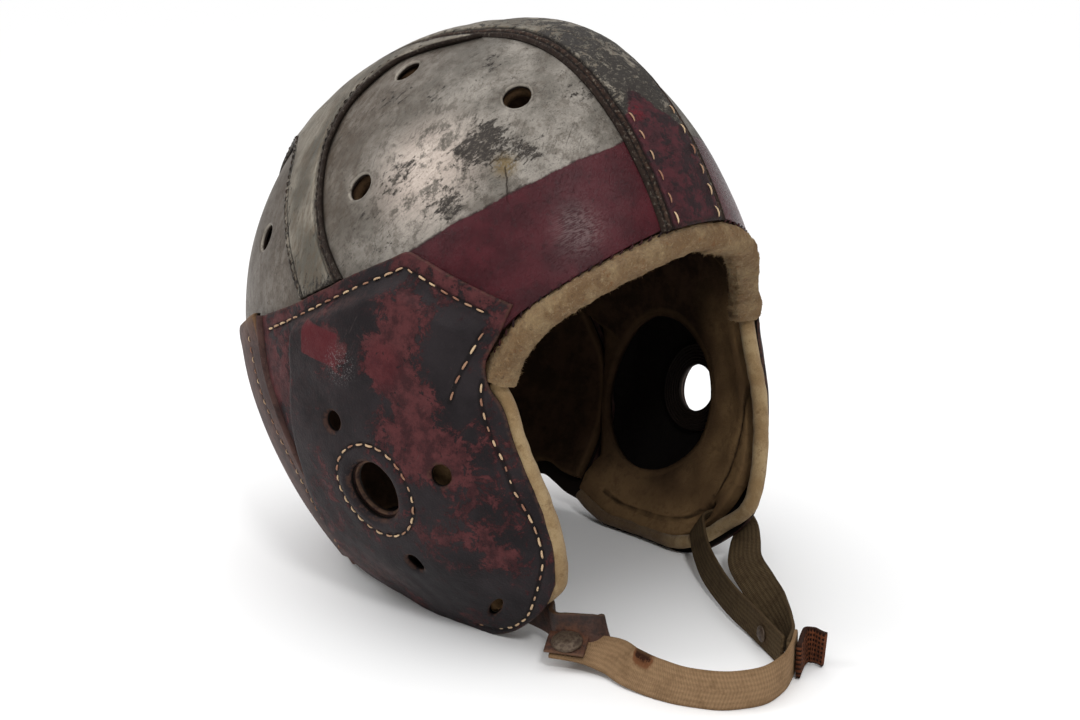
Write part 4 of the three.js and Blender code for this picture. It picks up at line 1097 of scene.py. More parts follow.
def brown_leather():
    """Dark brown leather of the tab and snap patch, rusted round the snap."""
    f = Finish("brown_leather", roughness=0.6, specular=0.3)
    cloud = f.noise(7, 5, 0.65)
    colour = f.mix(cloud.rise(0.35, 0.65), tint(40, 27, 22), tint(70, 45, 35))
    colour = f.mix(f.noise(1.8, 5, 0.7).rise(0.56, 0.7) * 0.7, colour, tint(26, 18, 15))
    rust = f.spot((-62, -77.5, 9), 9, 0.3) * f.noise(3, 6, 0.75).rise(0.38, 0.58)
    colour = f.mix(rust * 0.6, colour, tint(98, 60, 38))
    edge = f.mark("rim").rise(1.0, 2.0)
    colour = f.mix(edge * 0.3, colour, tint(110, 80, 52))
    return f.done(colour, 0.5 + cloud * 0.2, None, f.cells(0.9) * 0.4 + cloud * 0.8, 0.35)


def mesh_tab():
    """End tab: rusty brown mesh weave of small dark openings in rows."""
    f = Finish("orange_weave", roughness=0.85, specular=0.08)
    run, over = f.layout()
    across = over * 3.4
    hole = across.ribs() * (run * 3.1 + across.sine().size() * 0.6).ribs()
    colour = f.mix(hole.rise(0.2, 0.5), tint(98, 56, 36), tint(30, 20, 16))
    edge = f.mark("rim").rise(0.9, 1.6)
    colour = f.mix(edge, colour, tint(46, 30, 24))
    colour = f.mix(f.noise(4, 6, 0.7).rise(0.42, 0.6) * 0.6, colour, tint(56, 34, 25))
    return f.done(colour, None, None, 1 - hole, 0.5)


def old_steel():
    """Snap cap and rivet: dull grey-brown plated steel, faintly pitted."""
    f = Finish("steel", specular=0.4)
    pits = f.noise(1.4, 5, 0.7)
    colour = f.mix(pits.rise(0.42, 0.62), tint(92, 78, 64), tint(62, 47, 37))
    return f.done(colour, 0.4 + pits * 0.3, 0.75 - pits * 0.5, pits, 0.1)


def thread(name, light, dark):
    """Waxed thread: each stitch its own tone, twisted fine lines."""
    f = Finish(name, roughness=0.75, specular=0.2)
    tone = f.mark("tone")
    colour = f.mix(tone.rise(0.0, 1.0), light, dark)
    grime = f.noise(1.0, 4, 0.7)
    colour = f.mix(grime.rise(0.55, 0.7) * 0.5, colour, tint(60, 40, 34))
    return f.done(colour, None, None, f.noise(0.35, 2), 0.15)


SILVER = silver_paint()
WORN = worn_silver()
BLACK = flap_leather()
MAROON = guard_leather()
TAN = suede("tan_suede", tint(180, 150, 108), tint(150, 116, 76), tint(86, 60, 37), tint(156, 98, 46),
            nap=0.8, depth=2.4)
ROLL_TAN = suede("tan_nubuck", tint(162, 139, 104), tint(138, 113, 80), tint(66, 49, 36),
                 tint(112, 86, 58), nap=0.4, depth=0.3)
LINING = lining()
WEB = strap_weave("webbing", tint(156, 127, 96), tint(118, 93, 68), tint(106, 82, 58), 2.1, 1.0)
WEB_DARK = strap_weave("webbing_dark", tint(100, 83, 60), tint(50, 41, 30), tint(58, 44, 31), 1.9, 1.1)
BROWN = brown_leather()
MESH_TAB = mesh_tab()
STEEL = old_steel()
CREAM = thread("thread_cream", tint(200, 172, 138), tint(140, 100, 80))
RED_THREAD = thread("thread_red", tint(52, 18, 20), tint(24, 10, 12))
DARK_THREAD = thread("thread_dark", tint(58, 46, 38), tint(30, 24, 20))

threads = {"cream": [], "red": [], "dark": []}


def sew(colour, path, lift, sizes, seed, both=True, **more):
    """Adds a run of stitches over head-surface points, on both sides of the helmet."""
    out = normal(path)
    run = stitches(path + out * np.reshape(lift, (-1, 1)), out, *sizes, seed=seed, **more)
    threads[colour].append(run)
    if both:
        threads[colour].append(run.mirrored())


# Crown panels
def brow_points(parts):
    """Points along the whole brow line, from the right end to the left."""
    rows = line(BROW, parts)
    return skin(np.radians(rows[:, 0]), rows[:, 1])


def panel_join():
    """The seam between the front and the rear panel, as far as the centre strip."""
    join = beside(line([*PANEL_JOIN, (84, 200)], np.linspace(0, 1, 200)))
    return join[join[:, 0] > PANEL_X]


def front_panels():
    """Front crown panels: the patch between the flap, the brow, the centre strip and the rear panel,
    with three vents and a gentle dent here and there."""
    u = steps(170, 1.5)
    v = steps(110, 1.5)
    low = beside(line([(-52, 127), (-34, 137.5), (-16.6, 145.5), (-4, 141), (9.4, 132), (18.5, 127.6)], u))
    high = arc_over(PANEL_X, (-86, 165.5), (84, 209), u)
    brow_half = evenly(brow_points(np.linspace(0.5, 1, 300)), np.linspace(0.14, 0.78, 200))
    first = evenly(brow_half[::-1], v)
    last = evenly(np.concatenate([panel_join(), high[-1:]]), v)
    first[-1] = high[0]
    low[0], low[-1] = first[0], last[0]
    front = Sheet(cast(patch(low, high, first, last, u, v)))
    for vent in FRONT_VENTS:
        front.pierce(vent, PANEL_VENT_R)
    dent = lumps(front.base, 34, 11) * 0.35
    put_pair("front_panel", front.cut(PANEL[1] + dent, PANEL[0] + dent, 0.6), SILVER,
             "crown_panel_front")


def rear_panels():
    """Rear crown panels: the patch between the front panel, the centre strip and the neck guard."""
    u = steps(130, 1.6)
    v = steps(150, 1.6)
    low = beside(line([(19, 126.5), (36, 118.6), (66, 107.5)], u))
    high = arc_over(PANEL_X, PANEL_TOP_JOIN, CROWN_BACK, u)
    top = arc_over(PANEL_X, PANEL_TOP_JOIN, CROWN_BACK, [0.0])
    first = evenly(np.concatenate([panel_join(), top]), v)
    under = beside(np.stack([np.linspace(66, 150, 120), np.linspace(107.5, 77.5, 120)], 1))
    under = under[under[:, 0] > PANEL_X + 1]
    last = evenly(np.concatenate([under, high[-1:]]), v)
    low[0], low[-1] = first[0], last[0]
    rear = Sheet(cast(patch(low, high, first, last, u, v)))
    rear.pierce(REAR_VENT, PANEL_VENT_R)
    dent = lumps(rear.base, 34, 12) * 0.3
    put_pair("rear_panel", rear.cut(PANEL[1] + dent, PANEL[0] + dent, 0.6), SILVER,
             "crown_panel_rear")


def center_strip():
    """Centre strip: rows over the head at each x, with a padded top between two raw ridges on each
    side, and a short seam on either side in front."""
    xs = np.sort(np.concatenate([np.linspace(-STRIP_HALF, STRIP_HALF, 84), [-13.5, 13.5]]))
    middle = arc_over(0.0, (-88, 165.5), (151, 90.7), steps(400, 1.6))
    grid = (len(middle), len(xs))
    origin = np.zeros((*grid, 3)) + np.array([0, CORE[1], CORE[2]])
    origin[..., 0] = xs[None]
    heading = (middle - CORE)[:, None] * np.array([0, 1, 1]) + np.zeros((*grid, 3))
    strip = Sheet(cast(origin + heading, origin))
    across = np.broadcast_to(np.abs(xs)[None], grid)
    uneven = lumps(strip.base, 16, 21) * 0.22 + lumps(strip.base, 3.1, 22) * 0.06
    lift = np.interp(across, *STRIP_LIFTS) + uneven
    marks = {"raw": smoothstep((across - 13.5) / 0.4),
             "groove": bump(across, 13.8, 0.35) + bump(across, 16.2, 0.4), "center": np.ones(grid)}
    put("center_strip", strip.cut(lift, STRIP[0], 0.5, marks), WORN, ["crown_strip_center"])
    for side_x, seed in ((-11.6, 31), (11.0, 32)):
        seam = arc_over(side_x, (-85.5, 163), (-60, 208), np.linspace(0, 1, 80))
        sew("cream", seam, 2.75, STRIP_SEWING, seed, both=False)


def beyond_strip(rows):
    """A side-view line as surface points, up to the centre strip's edge."""
    spots = beside(line(rows, np.linspace(0, 1, 400)))
    past = np.argmax(spots[:, 0] < CROSS_START) or len(spots)
    return spots[:past]


def cross_strips():
    """Cross strips: from above each ear up to the centre strip, with a ragged raw front edge, two
    stitched grooves in front and one behind."""
    u = steps(38, 0.9)
    v = steps(170, 1.6)
    first, last = evenly(beyond_strip(CROSS_FRONT), v), evenly(beyond_strip(CROSS_REAR), v)
    low = evenly(beside(line([CROSS_FRONT[0], (24.5, 136.6), CROSS_REAR[0]], np.linspace(0, 1, 50))), u)
    high = arc_over(CROSS_START, first[-1][1:], last[-1][1:], u)
    low[0], low[-1] = first[0], last[0]
    high[0], high[-1] = first[-1], last[-1]
    cross = Sheet(cast(patch(low, high, first, last, u, v)))
    across = np.linalg.norm(np.diff(cross.base, axis=1), axis=-1).cumsum(1)
    from_front = np.concatenate([np.zeros((len(v), 1)), across], 1)
    from_rear = from_front[:, -1:] - from_front
    lift = (2.5 - 0.9 * bump(from_front, 3.0, 0.8) - 0.7 * bump(from_front, 5.0, 0.6)
            - 0.7 * bump(from_rear, 2.6, 0.6) + lumps(cross.base, 14, 23) * 0.2)
    groove = bump(from_front, 3.0, 0.6) + 0.7 * bump(from_front, 5.0, 0.5) + 0.9 * bump(from_rear, 2.6, 0.5)
    ragged = lumps(cross.base, 5, 24) * 0.7 + lumps(cross.base, 2.2, 25) * 0.5
    marks = {"raw": smoothstep((4.6 + ragged - from_front) / 1.2) * 0.9, "groove": groove,
             "center": np.zeros_like(groove)}
    put_pair("cross_strip", cross.cut(lift, STRIP[0], 0.6, marks), WORN, "crown_strip_cross")
    for column, lifted, seed in ((-6, 2.3, 33), (6, 2.0, 34)):
        sew("dark", evenly(cross.base[:, column], np.linspace(0.02, 0.9, 200)), lifted, CROSS_SEWING, seed)


# Ear flaps
FLAP_TOP_SEAM = beside(line([(-50, 136.4), (-36, 142.2), (-21, 148.4), (-16.6, 149.6), (-12, 147.6),
                             (9.4, 137.4), (36, 124.6), (58, 115.4)], np.linspace(0, 1, 300)))
FLAP_FRONT_SEAM = beside(line([(-51.2, 113), (-51, 106.6), (-52.4, 99), (-54.9, 92), (-59.5, 82.3),
                               (-63, 71.2), (-67.2, 60), (-68.9, 51), (-68.8, 43), (-66.5, 35),
                               (-62.8, 26.5), (-57.3, 17.4), (-50, 10.8), (-41, 6.4), (-28, 5)],
                              np.linspace(0, 1, 400)))
FLAP_ROLL_SEAM = beside(line([(-41.5, 104.5), (-43.5, 112), (-47, 121), (-50.5, 131)],
                             np.linspace(0, 1, 100)))
RING_SEAM_R = 18.0
RING_SEAM_TURN = np.linspace(0, 2 * math.pi, 240)
RING_SEAM = beside(np.stack([EAR_HOLE[0] + RING_SEAM_R * np.cos(RING_SEAM_TURN),
                             EAR_HOLE[1] + RING_SEAM_R * np.sin(RING_SEAM_TURN)], 1))
FLAP_SEAMS = [FLAP_TOP_SEAM, FLAP_FRONT_SEAM, FLAP_ROLL_SEAM, RING_SEAM]


def flap_leather_shape(bottom, vents):
    """The flap's wall over the border lines, with its holes, the dome over the ear, sunk stitch lines
    and a lip round the ear hole. Returns it for the wearer's left."""
    u = steps(135, 1.05)
    v = steps(150, 1.05)
    flap = Sheet(beside(patch(line(FLAP_TOP, u), line(bottom, u), line(FLAP_FRONT, v),
                              line([*FLAP_REAR[:-1], bottom[-1]], v), u, v)))
    flap.pierce(EAR_HOLE, EAR_HOLE_R)
    for vent in vents:
        flap.pierce(vent, FLAP_VENT_R)
    flap.pierce(SLOT, SLOT_LONG, SLOT_SHORT, SLOT_TURN)
    y, z = flap.base[..., 1], flap.base[..., 2]
    bulge = ear_bulge(y, z)
    seam = nearest(flap.base, np.concatenate(FLAP_SEAMS)[::2])
    pucker = bump(bulge, 2.0, 1.5) * smoothstep((z - 104) / 18)
    wall = bulge + lumps(flap.base, 26, 41) * 0.35 + lumps(flap.base, 9, 42) * (0.14 + 0.7 * pucker)
    sunk = 0.45 * bump(seam, 0, 1.3)
    rub = bump(bulge, 2.6, 1.7) * smoothstep((y + 20) / 40)
    from_hole = np.linalg.norm(flap.base - beside(np.array(EAR_HOLE)), axis=-1)
    lip = 0.7 * bump(from_hole, 14.6, 2.0)
    thinned = 0.9 * smoothstep((6 - np.linalg.norm(flap.base - flap.base[:, :1], axis=-1)) / 6)
    return flap.cut(FLAP[1] + wall - sunk + lip - thinned, FLAP[0] + wall, 0.9, {"seam": seam, "rub": rub})


def ear_flaps():
    """Both ear flaps and their stitching. The left one's upper vent stays closed."""
    put_pair("flap_leather", flap_leather_shape(LEFT_FLAP_BOTTOM, FLAP_VENTS[1:]), BLACK, "ear_flap",
             right=flap_leather_shape(FLAP_BOTTOM, FLAP_VENTS))
    sewing = [(FLAP_TOP_SEWING, 0.0), (FLAP_FRONT_SEWING, -0.4), (FLAP_ROLL_SEWING, 0.0), (RING_SEWING, 0.1)]
    for k, (seam, (sizes, higher)) in enumerate(zip(FLAP_SEAMS, sewing)):
        lift = FLAP[1] - 0.35 + ear_bulge(seam[:, 1], seam[:, 2])
        sew("cream", seam, lift + higher, sizes, 51 + k)


def ear_rings():
    """Inner rings behind the ear holes: a wound disc of leather round each hole, under the dome."""
    centre = beside(np.array(EAR_HOLE))
    right, up = tangents(normal(centre))
    radii = EAR_RING_INSIDE + (EAR_RING_R - EAR_RING_INSIDE) * steps(EAR_RING_R - EAR_RING_INSIDE, 0.45)
    turn = circle(128)
    disc = centre + radii[:, None, None] * (np.cos(turn)[:, None] * right + np.sin(turn)[:, None] * up)
    ring = Sheet(cast(disc), ring=True)
    lift = ear_bulge(ring.base[..., 1], ring.base[..., 2])
    wound = np.broadcast_to(0.35 * np.abs(np.sin((radii[:, None] - EAR_RING_INSIDE) * 2.2)), lift.shape)
    marks = {"seam": 3 * wound, "torn": np.zeros_like(lift)}
    put_pair("ear_ring_leather", ring.cut(RING[1] + lift, RING[0] + lift - wound, 0.6, marks), MAROON,
             "ear_ring")


# Neck guard
def round_back(seam_rows, top, bottom, left_bottom, spacing):
    """A grid of (angle, height) from the left seam round the back to the right seam, between the
    lines top(angle) and the two bottom rows of (y, z)."""
    v = steps(120, spacing)
    u = steps(300, spacing)
    low = line(bottom, np.linspace(0, 1, 200))
    left_low = line(left_bottom, np.linspace(0, 1, 200))
    seam = line([*seam_rows[:-1], bottom[0]], v)
    left_seam = line([*seam_rows[:-1], left_bottom[0]], v)
    near_line = np.stack([angle_at(left_seam), left_seam[:, 1]], 1)
    far_line = np.stack([2 * math.pi - angle_at(seam), seam[:, 1]], 1)
    high_angle = near_line[0, 0] + (far_line[0, 0] - near_line[0, 0]) * u
    low_angle = near_line[-1, 0] + (far_line[-1, 0] - near_line[-1, 0]) * u
    folded = np.where(high_angle > math.pi, 2 * math.pi - high_angle, high_angle)
    low_folded = np.where(low_angle > math.pi, 2 * math.pi - low_angle, low_angle)
    low_z = np.where(low_angle > math.pi,
                     np.interp(low_folded, np.maximum.accumulate(angle_at(low)), low[:, 1]),
                     np.interp(low_folded, np.maximum.accumulate(angle_at(left_low)), left_low[:, 1]))
    high_line = np.stack([high_angle, top(folded)], 1)
    low_line = np.stack([low_angle, low_z], 1)
    near_line[0], near_line[-1] = high_line[0], low_line[0]
    far_line[0], far_line[-1] = high_line[-1], low_line[-1]
    around = patch(high_line, low_line, near_line, far_line, u, v)
    return skin(around[..., 0], np.maximum(around[..., 1], 0.0))


def guard_top(angle):
    """The height of the guard's upper edge: a straight slope in the side view, found in 40 steps."""
    z = np.full_like(angle, 100.0)
    fall = (GUARD_TOP_TO[1] - GUARD_TOP_FROM[1]) / (GUARD_TOP_TO[0] - GUARD_TOP_FROM[0])
    for _ in range(40):
        z = GUARD_TOP_FROM[1] + (skin(angle, z)[:, 1] - GUARD_TOP_FROM[0]) * fall
    return z


def neck_guard():
    """Neck guard: one wide piece round the back, flared and torn along its upper edge at the sides,
    flat where it rests on the floor, with a stitched flange by each seam."""
    guard = Sheet(round_back(GUARD_SEAM, guard_top, GUARD_BOTTOM, LEFT_GUARD_BOTTOM, 1.7))
    from_top = edge_distance(guard.base, ring=True)
    upper_half = np.arange(len(from_top))[:, None] < len(from_top) / 2
    from_top = np.where(upper_half, from_top, 60)
    flange = beside(line([(76.5, 110), (75.5, 99), (70, 88.5), (61, 77.5), (53, 65), (48, 52.5), (45, 34),
                          (46, 18)], np.linspace(0, 1, 300)))
    seam = nearest(guard.base, np.concatenate([flange, flange * (-1, 1, 1)])[::3])
    side_part = smoothstep((100 - guard.base[..., 1]) / 30)
    flare = 2.4 * smoothstep((16 - from_top) / 16) * side_part
    ragged = lumps(guard.base, 7, 61) * 0.5 * np.exp(-from_top / 4)
    ripple = lumps(guard.base, 30, 62) * 0.3
    outer = GUARD[1] + flare + ragged + ripple - 0.4 * bump(seam, 0, 1.2)
    inner = GUARD[0] + flare * 0.8 + ripple
    outer = np.where(guard.base[..., 2] < 3, np.minimum(outer, GUARD[1]), outer)
    torn = np.exp(-from_top / 2.5) * side_part
    put("neck_guard_leather", guard.cut(outer, inner, 0.8, {"seam": seam, "torn": torn}), MAROON,
        ["neck_guard"])
    sew("cream", flange, GUARD[1] - 0.3 + 1.2 * smoothstep((flange[:, 2] - 96) / 16), GUARD_SEWING, 63)


def welt_shape(rows):
    """A cord of leather standing in the seam between flap and guard."""
    path = beside(line(rows, np.linspace(0, 1, 120)))
    out = normal(path)
    side = sideways(path, out)
    swell = 1 + lumps(path, 9, 71)[:, None] * 0.06 + np.zeros((120, 20))
    welt = tube(path + out * WELT_LIFT, out, side, WELT_R, WELT_R, swell)
    welt.marks = {"seam": np.full(len(welt.points), 9.0), "edge": np.full(len(welt.points), 9.0)}
    return welt


def welts():
    """The welts in both seams, the left one longer by the lower edge of its flap."""
    put_pair("welt", welt_shape([*SEAM[:-1], (36.5, 9.5)]), MAROON, "seam_welt",
             right=welt_shape(SEAM))


# Suede rolls
def hairs_on(roll, spots, out, side, turn, long, seed):
    """Loose fibres at numbered section points of a roll, growing away from its middle line."""
    row, column = np.divmod(spots, len(turn))
    grown = out[row] * np.cos(turn[column])[:, None] + side[row] * np.sin(turn[column])[:, None]
    return fuzz(roll.points[spots], grown, long, seed)


def brow_roll():
    """Brow roll: a fat oval roll below the brow line, swollen at its ends, torn and lumpy along its
    inner lip, with crusts and loose fibres, and the thread that whips it on."""
    rows, around = 640, 56
    parts = np.linspace(0, 1, rows)
    path = brow_points(parts)
    out = normal(path)
    at_end = smoothstep((np.abs(parts - 0.5) - 0.4) / 0.08)
    path = path + out * (BROW_ROLL_LIFT + 1.6 * at_end)[:, None]
    side = sideways(path, out)
    path = path + side * (BROW_ROLL_DROP - 1.5 * at_end)[:, None]
    turn = circle(around)
    random = np.random.default_rng(81)
    every = np.repeat(path[:, None], around, 1)
    swell = 1 + 0.05 * lumps(every + 6 * np.cos(turn)[None, :, None], 8, 82)
    ragged = lumps(path, 5.2, 83) + 0.9 * lumps(path, 2.1, 84) + 0.5 * lumps(path, 14, 88)
    inward = smoothstep((-np.cos(turn) - 0.2) / 0.6)[None] * smoothstep((np.sin(turn) + 0.2) / 0.8)[None]
    swell = swell + inward * (0.14 + 0.15 * ragged[:, None]) + random.normal(0, 0.02, swell.shape)
    swell = swell * (1 + 0.14 * at_end[:, None])
    swell = swell + 0.03 * lumps(every + 5 * np.sin(turn)[None, :, None], 3.2, 89)
    roll = tube(path, out, side, BROW_ROLL_OUT, BROW_ROLL_ACROSS, swell)
    # Painted shade: marks the side of the roll turned back towards the helmet to be painted darker.
    below = smoothstep((0.2 - np.cos(turn)) / 1.2) * 0.35
    roll.marks = {"dirt": np.concatenate([np.tile(below, rows), [0, 0]])}
    spots = random.integers(0, rows * around, 5200)
    hair = hairs_on(roll, spots, out, side, turn, 0.9, 85)
    lip = np.flatnonzero(inward[0] > 0.6)
    spots = random.integers(0, rows, 3800) * around + random.choice(lip, 3800)
    hair = hair + hairs_on(roll, spots, out, side, turn, 1.7, 86)
    put("brow_suede", roll + hair, TAN, ["brow_roll"])
    whip = brow_points(np.linspace(0.02, 0.98, 500))
    whip_side = sideways(whip, normal(whip))
    sew("red", cast(whip + whip_side * 0.9), 0.35, BROW_SEWING, 87, both=False, slant=0.5)


def edge_roll_shape(bottom):
    """A soft roll round the flap's front and lower edge: just ahead of the leather in front, tucked
    inside it along the bottom, where it stays clear of the floor."""
    path = beside(line([*bottom[::-1], *FLAP_FRONT[:2:-1][1:]], np.linspace(0, 1, 300)))
    out = normal(path)
    side = sideways(path, out)
    inward = np.sign(((CORE - path) * side).sum(1).mean())
    front = smoothstep((path[:, 2] - 14) / 20) * smoothstep((-20 - path[:, 1]) / 30)
    lift = EDGE_ROLL_LIFT + (EDGE_ROLL_FRONT_LIFT - EDGE_ROLL_LIFT) * front
    inset = EDGE_ROLL_INSET - (EDGE_ROLL_INSET + EDGE_ROLL_AHEAD) * front
    path = path + out * lift[:, None] + side * (inward * inset)[:, None]
    path[:, 2] = np.maximum(path[:, 2], EDGE_ROLL_R + 0.3)
    swell = 1 + 0.05 * lumps(path, 7, 91)[:, None] + np.zeros((300, 28))
    roll = tube(path, out, side, EDGE_ROLL_R, EDGE_ROLL_R, swell * (1 + 0.12 * front)[:, None])
    # Painted shade: marks the roll to be painted darker from the front towards the back.
    dark = np.repeat(1 - smoothstep((-18 - path[:, 1]) / 26), 28)
    roll.marks = {"dirt": np.concatenate([dark, [1, 0]])}
    return roll


def edge_rolls():
    """The rolls of both flaps, each along its own lower edge."""
    put_pair("edge_suede", edge_roll_shape(LEFT_FLAP_BOTTOM), ROLL_TAN, "edge_roll",
             right=edge_roll_shape(FLAP_BOTTOM))


# Linings
def soft_edge(far, deep):
    """How far a padded surface falls back towards its border: a quarter ellipse 5 mm wide."""
    return deep - deep * np.sqrt(np.clip(1 - (1 - np.minimum(far, 5) / 5) ** 2, 0, 1))


def crown_lining():
    """Lining of the crown: rings from its lower border up to the top, closed there, padded beside the
    middle seam, with the vents let through."""
    azimuth = np.linspace(-math.pi, math.pi, 240, endpoint=False)
    brow_rows = line(BROW, np.linspace(0, 1, 300))
    size = np.abs(azimuth)
    lower = np.interp(azimuth, np.radians(brow_rows[:, 0]), brow_rows[:, 1] + 7)
    edge_flat = line([(-52, 128.5), (-34, 137), (-16.6, 143.7), (9.4, 131.3), (36, 118.5), (66, 107.5),
                      (108, 92), (150, 75)], np.linspace(0, 1, 400))
    edge_angle = angle_at(edge_flat)
    order = np.argsort(edge_angle)
    behind = np.interp(size, edge_angle[order], edge_flat[order, 1])
    lower = np.where(size > math.radians(53), behind, lower)
    lower = np.where(size > float(edge_angle.max()), 75.5, lower)
    v = np.concatenate([[0, 0.004, 0.01, 0.018], np.linspace(0.03, 0.985, 96)])[:, None]
    z = lower[None] + (TOP - lower[None]) * np.sin(v * math.pi / 2)
    crown = Sheet(skin(azimuth[None] + 0 * z, z), ring=True)
    crown.edge = np.where(np.arange(len(v))[:, None] < len(v) / 2, crown.edge, 50)
    for vent in [*FRONT_VENTS, REAR_VENT]:
        crown.pierce(vent, PANEL_VENT_R)
        crown.pierce(vent, PANEL_VENT_R, side=-1)
    quilt = np.minimum(np.abs(crown.base[..., 0]), 60)
    pad = 1.2 * smoothstep(quilt / 14) - 1.2 + lumps(crown.base, 22, 101) * 0.4
    shape = crown.cut(CROWN_LINING[1] - 0.2, CROWN_LINING[0] + pad * 0.4, 1.2,
                      {"seam": quilt, "shade": np.full_like(quilt, 0.4)})
    put("crown_lining", shape, LINING, ["liner_crown"])


def flap_lining_shape(bottom, rear_end):
    """The padded lining of a flap, soft along its edges, with the oval round the ear and the slot."""
    u = steps(112, 1.8)
    v = steps(130, 1.8)
    low = line([PAD_FRONT[-1], *bottom, rear_end], u)
    front, rear = line(PAD_FRONT, v), line([*PAD_REAR, rear_end], v)
    pad = Sheet(beside(patch(line(PAD_TOP, u), low, front, rear, u, v)))
    pad.pierce(EAR_OVAL, EAR_OVAL_Z, EAR_OVAL_Y, 90, spread=7)
    pad.pierce(SLOT, SLOT_LONG, SLOT_SHORT, SLOT_TURN, spread=3)
    under = [(0.92 * y, z + 6.0) for y, z in bottom[1:]]
    channel = beside(line([(-54, 100), (-57.5, 84), (-58, 66), (-56, 50), (-52, 36), *under],
                          np.linspace(0, 1, 200)))
    seam = nearest(pad.base, channel[::2])
    ridge = lumps(pad.base, 20, 111) * 0.4
    inner = PAD[0] + soft_edge(pad.edge, 1.6) + ridge + 1.0 * bump(seam, 0, 1.8)
    y, z = pad.base[..., 1], pad.base[..., 2]
    shade = smoothstep((y + 50) / 44) * (0.35 + 0.65 * smoothstep((z - 12) / 26))
    return pad.cut(PAD[1] - 0.1, inner, 0.8, {"seam": seam, "shade": shade})


def flap_linings():
    """Linings of both flaps, each down to its own lower edge."""
    put_pair("flap_lining", flap_lining_shape(LEFT_PAD_BOTTOM, LEFT_PAD_END), LINING, "liner_flap",
             right=flap_lining_shape(RIGHT_PAD_BOTTOM, RIGHT_PAD_END))


def neck_top(angle):
    """The height of the neck lining's upper edge, falling towards the back."""
    start = float(angle[0])
    return np.interp(angle, [start, start + 0.35, math.pi], [100.0, 91.0, 74.0])


def neck_lining():
    """Lining of the neck guard, with a seam on each side."""
    neck = Sheet(round_back(NECK_SEAM, neck_top, NECK_BOTTOM, LEFT_NECK_BOTTOM, 2.3))
    ridge = lumps(neck.base, 24, 121) * 0.5
    marks = {"seam": np.abs(np.abs(neck.base[..., 0]) - 48) + 0.8,
             "shade": np.full(neck.base.shape[:2], 0.9)}
    put("neck_lining", neck.cut(PAD[1] - 0.1, PAD[0] + soft_edge(neck.edge, 1.5) + ridge, 0.8, marks),
        LINING, ["liner_neck"])


# Chin strap
def chin_strap():
    """The webbing with its burnt spot, the loop, the tab, the end tab, and the snap and rivet."""
    webbing = ribbon(WEBBING, WEBBING_WIDE, WEBBING_THICK, 0.8, wave=0.25, seed=131, rolled=True)
    run, over = webbing.marks["strap"].T
    webbing.marks["burn"] = np.exp(-((run - BURN_AT) / BURN_HALF) ** 4) * smoothstep((over - 2.0) / 4.0)
    put("webbing", webbing, WEB, ["strap_webbing"])
    loop = ribbon(SLOT_LOOP, SLOT_LOOP_WIDTHS, SLOT_LOOP_THICK, 0.8, wave=0.12, seed=132)
    on_rivet = np.linalg.norm(loop.points - np.array(RIVET_AT), axis=1)
    loop.marks["burn"] = 0.2 * smoothstep((13 - on_rivet) / 9)
    put("loop_webbing", loop, WEB_DARK, ["strap_loop_left"])
    put("tab_leather", ribbon(TAB, TAB_WIDTHS, TAB_THICK, 0.7, 0.35, 0.25, 133), BROWN,
        ["strap_tab_right"])
    put("end_weave", ribbon(END_TAB, END_TAB_WIDE, END_TAB_THICK, 0.6), MESH_TAB, ["strap_end_tab"])
    put("patch_leather", ribbon(PATCH, PATCH_WIDE, PATCH_THICK, 0.5, 0.55, rolled=True), BROWN,
        ["snap_patch_right"])
    put("snap_dome", stud(SNAP_AT, SNAP_TOWARDS, SNAP_R, SNAP_TALL, 0.15), STEEL, ["snap_cap_right"])
    put("rivet_dome", stud(RIVET_AT, RIVET_TOWARDS, RIVET_R, RIVET_TALL, 0.1), STEEL,
        ["strap_rivet_left"])


def stitching():
    """All the runs of each thread as one piece."""
    for name, finish in (("cream", CREAM), ("red", RED_THREAD), ("dark", DARK_THREAD)):
        whole = threads[name][0]
        for run in threads[name][1:]:
            whole = whole + run
        put("stitches_" + name, whole, finish)


# Floor, light and camera
FLOOR_REACH, FLOOR_PALE = 40.0, 0.95
WORLD_STRENGTH = 0.44
LIT_MIDDLE = (0, 0, 0.11)
AZIMUTH, ELEVATION, ROLL = -45.09, 15.01, -0.33
AIM, DISTANCE = (0.01915, 0.017, 0.0884), 0.712
FOCAL_PIXELS, PHOTO_WIDTH, SENSOR = 1612.15, 1080, 36.0


def facing_from(azimuth, elevation, middle, distance, roll=0.0):
    """The place and turn of something that looks at a middle from a distance in metres, with its
    azimuth, elevation and roll in degrees."""
    a, e, r = np.radians([azimuth, elevation, roll])
    back = np.array([math.sin(a) * math.cos(e), -math.cos(a) * math.cos(e), math.sin(e)])
    right = np.array([math.cos(a), math.sin(a), 0])
    up = np.cross(back, right)
    turned = np.eye(4)
    turned[:3, 0] = right * math.cos(r) + up * math.sin(r)
    turned[:3, 1] = up * math.cos(r) - right * math.sin(r)
    turned[:3, 2] = back
    turned[:3, 3] = np.array(middle) + back * distance
    return Matrix(turned.tolist())


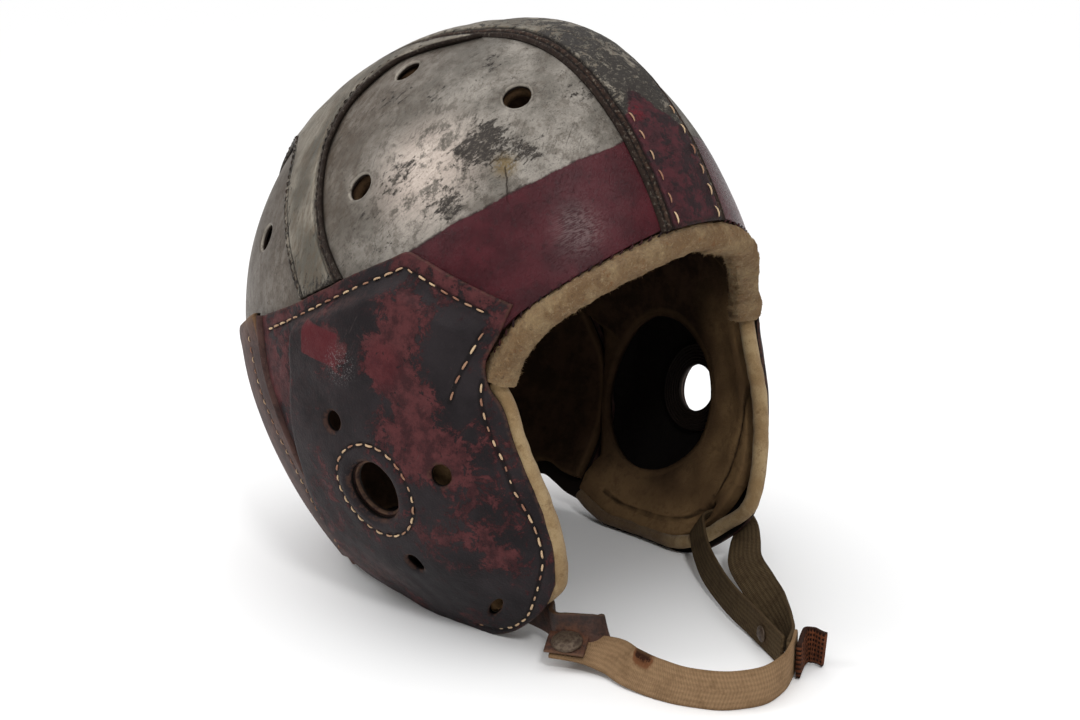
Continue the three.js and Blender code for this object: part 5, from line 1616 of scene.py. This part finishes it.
def floor():
    """A plain pale floor reaching far past the view."""
    mesh = bpy.data.meshes.new("floor")
    reach = FLOOR_REACH
    mesh.from_pydata([(-reach, -reach, 0), (reach, -reach, 0), (reach, reach, 0), (-reach, reach, 0)], [],
                     [(0, 1, 2, 3)])
    finish = Finish("floor_white", roughness=0.9, specular=0.0)
    finish.shader.inputs["Base Color"].default_value = (FLOOR_PALE, FLOOR_PALE, FLOOR_PALE, 1)
    mesh.materials.append(finish.material)
    piece = bpy.data.objects.new("floor", mesh)
    bpy.context.scene.collection.objects.link(piece)


def studio_world():
    """Even white light from all round."""
    world = bpy.data.worlds.new("studio")
    world.use_nodes = True
    background = world.node_tree.nodes["Background"]
    background.inputs["Color"].default_value = (1, 1, 1, 1)
    background.inputs["Strength"].default_value = WORLD_STRENGTH
    bpy.context.scene.world = world


def far_light(name, azimuth, elevation, width, strength):
    """Light from far away in one direction, spread over a width; all angles in degrees."""
    sun = bpy.data.lights.new(name, "SUN")
    sun.energy = strength
    sun.angle = math.radians(width)
    lamp = bpy.data.objects.new(name, sun)
    lamp.rotation_euler = (math.radians(90 - elevation), 0, math.radians(azimuth))
    bpy.context.scene.collection.objects.link(lamp)


def soft_light(name, azimuth, elevation, distance, size, power):
    """A square softbox aimed at the helmet from an azimuth and elevation, in degrees and metres."""
    light = bpy.data.lights.new(name, "AREA")
    light.shape = "SQUARE"
    light.size = size
    light.energy = power
    lamp = bpy.data.objects.new(name, light)
    bpy.context.scene.collection.objects.link(lamp)
    lamp.matrix_world = facing_from(azimuth, elevation, LIT_MIDDLE, distance)


def camera():
    """The camera of the photograph."""
    lens = bpy.data.cameras.new("camera")
    lens.sensor_width = SENSOR
    lens.lens = FOCAL_PIXELS * SENSOR / PHOTO_WIDTH
    lens.clip_start = 0.02
    seen = bpy.data.objects.new("camera", lens)
    seen.matrix_world = facing_from(AZIMUTH, ELEVATION, AIM, DISTANCE, ROLL)
    bpy.context.scene.collection.objects.link(seen)
    bpy.context.scene.camera = seen
    bpy.context.scene.view_settings.view_transform = "Standard"


front_panels()
rear_panels()
center_strip()
cross_strips()
ear_flaps()
ear_rings()
neck_guard()
welts()
brow_roll()
edge_rolls()
crown_lining()
flap_linings()
neck_lining()
chin_strap()
stitching()
floor()
studio_world()
far_light("overhead", 180, 76, 80, 1.98)
soft_light("front", -33, 40, 1.4, 0.2, 5.5)
soft_light("side", -128, 40, 1.4, 0.4, 3)
camera()
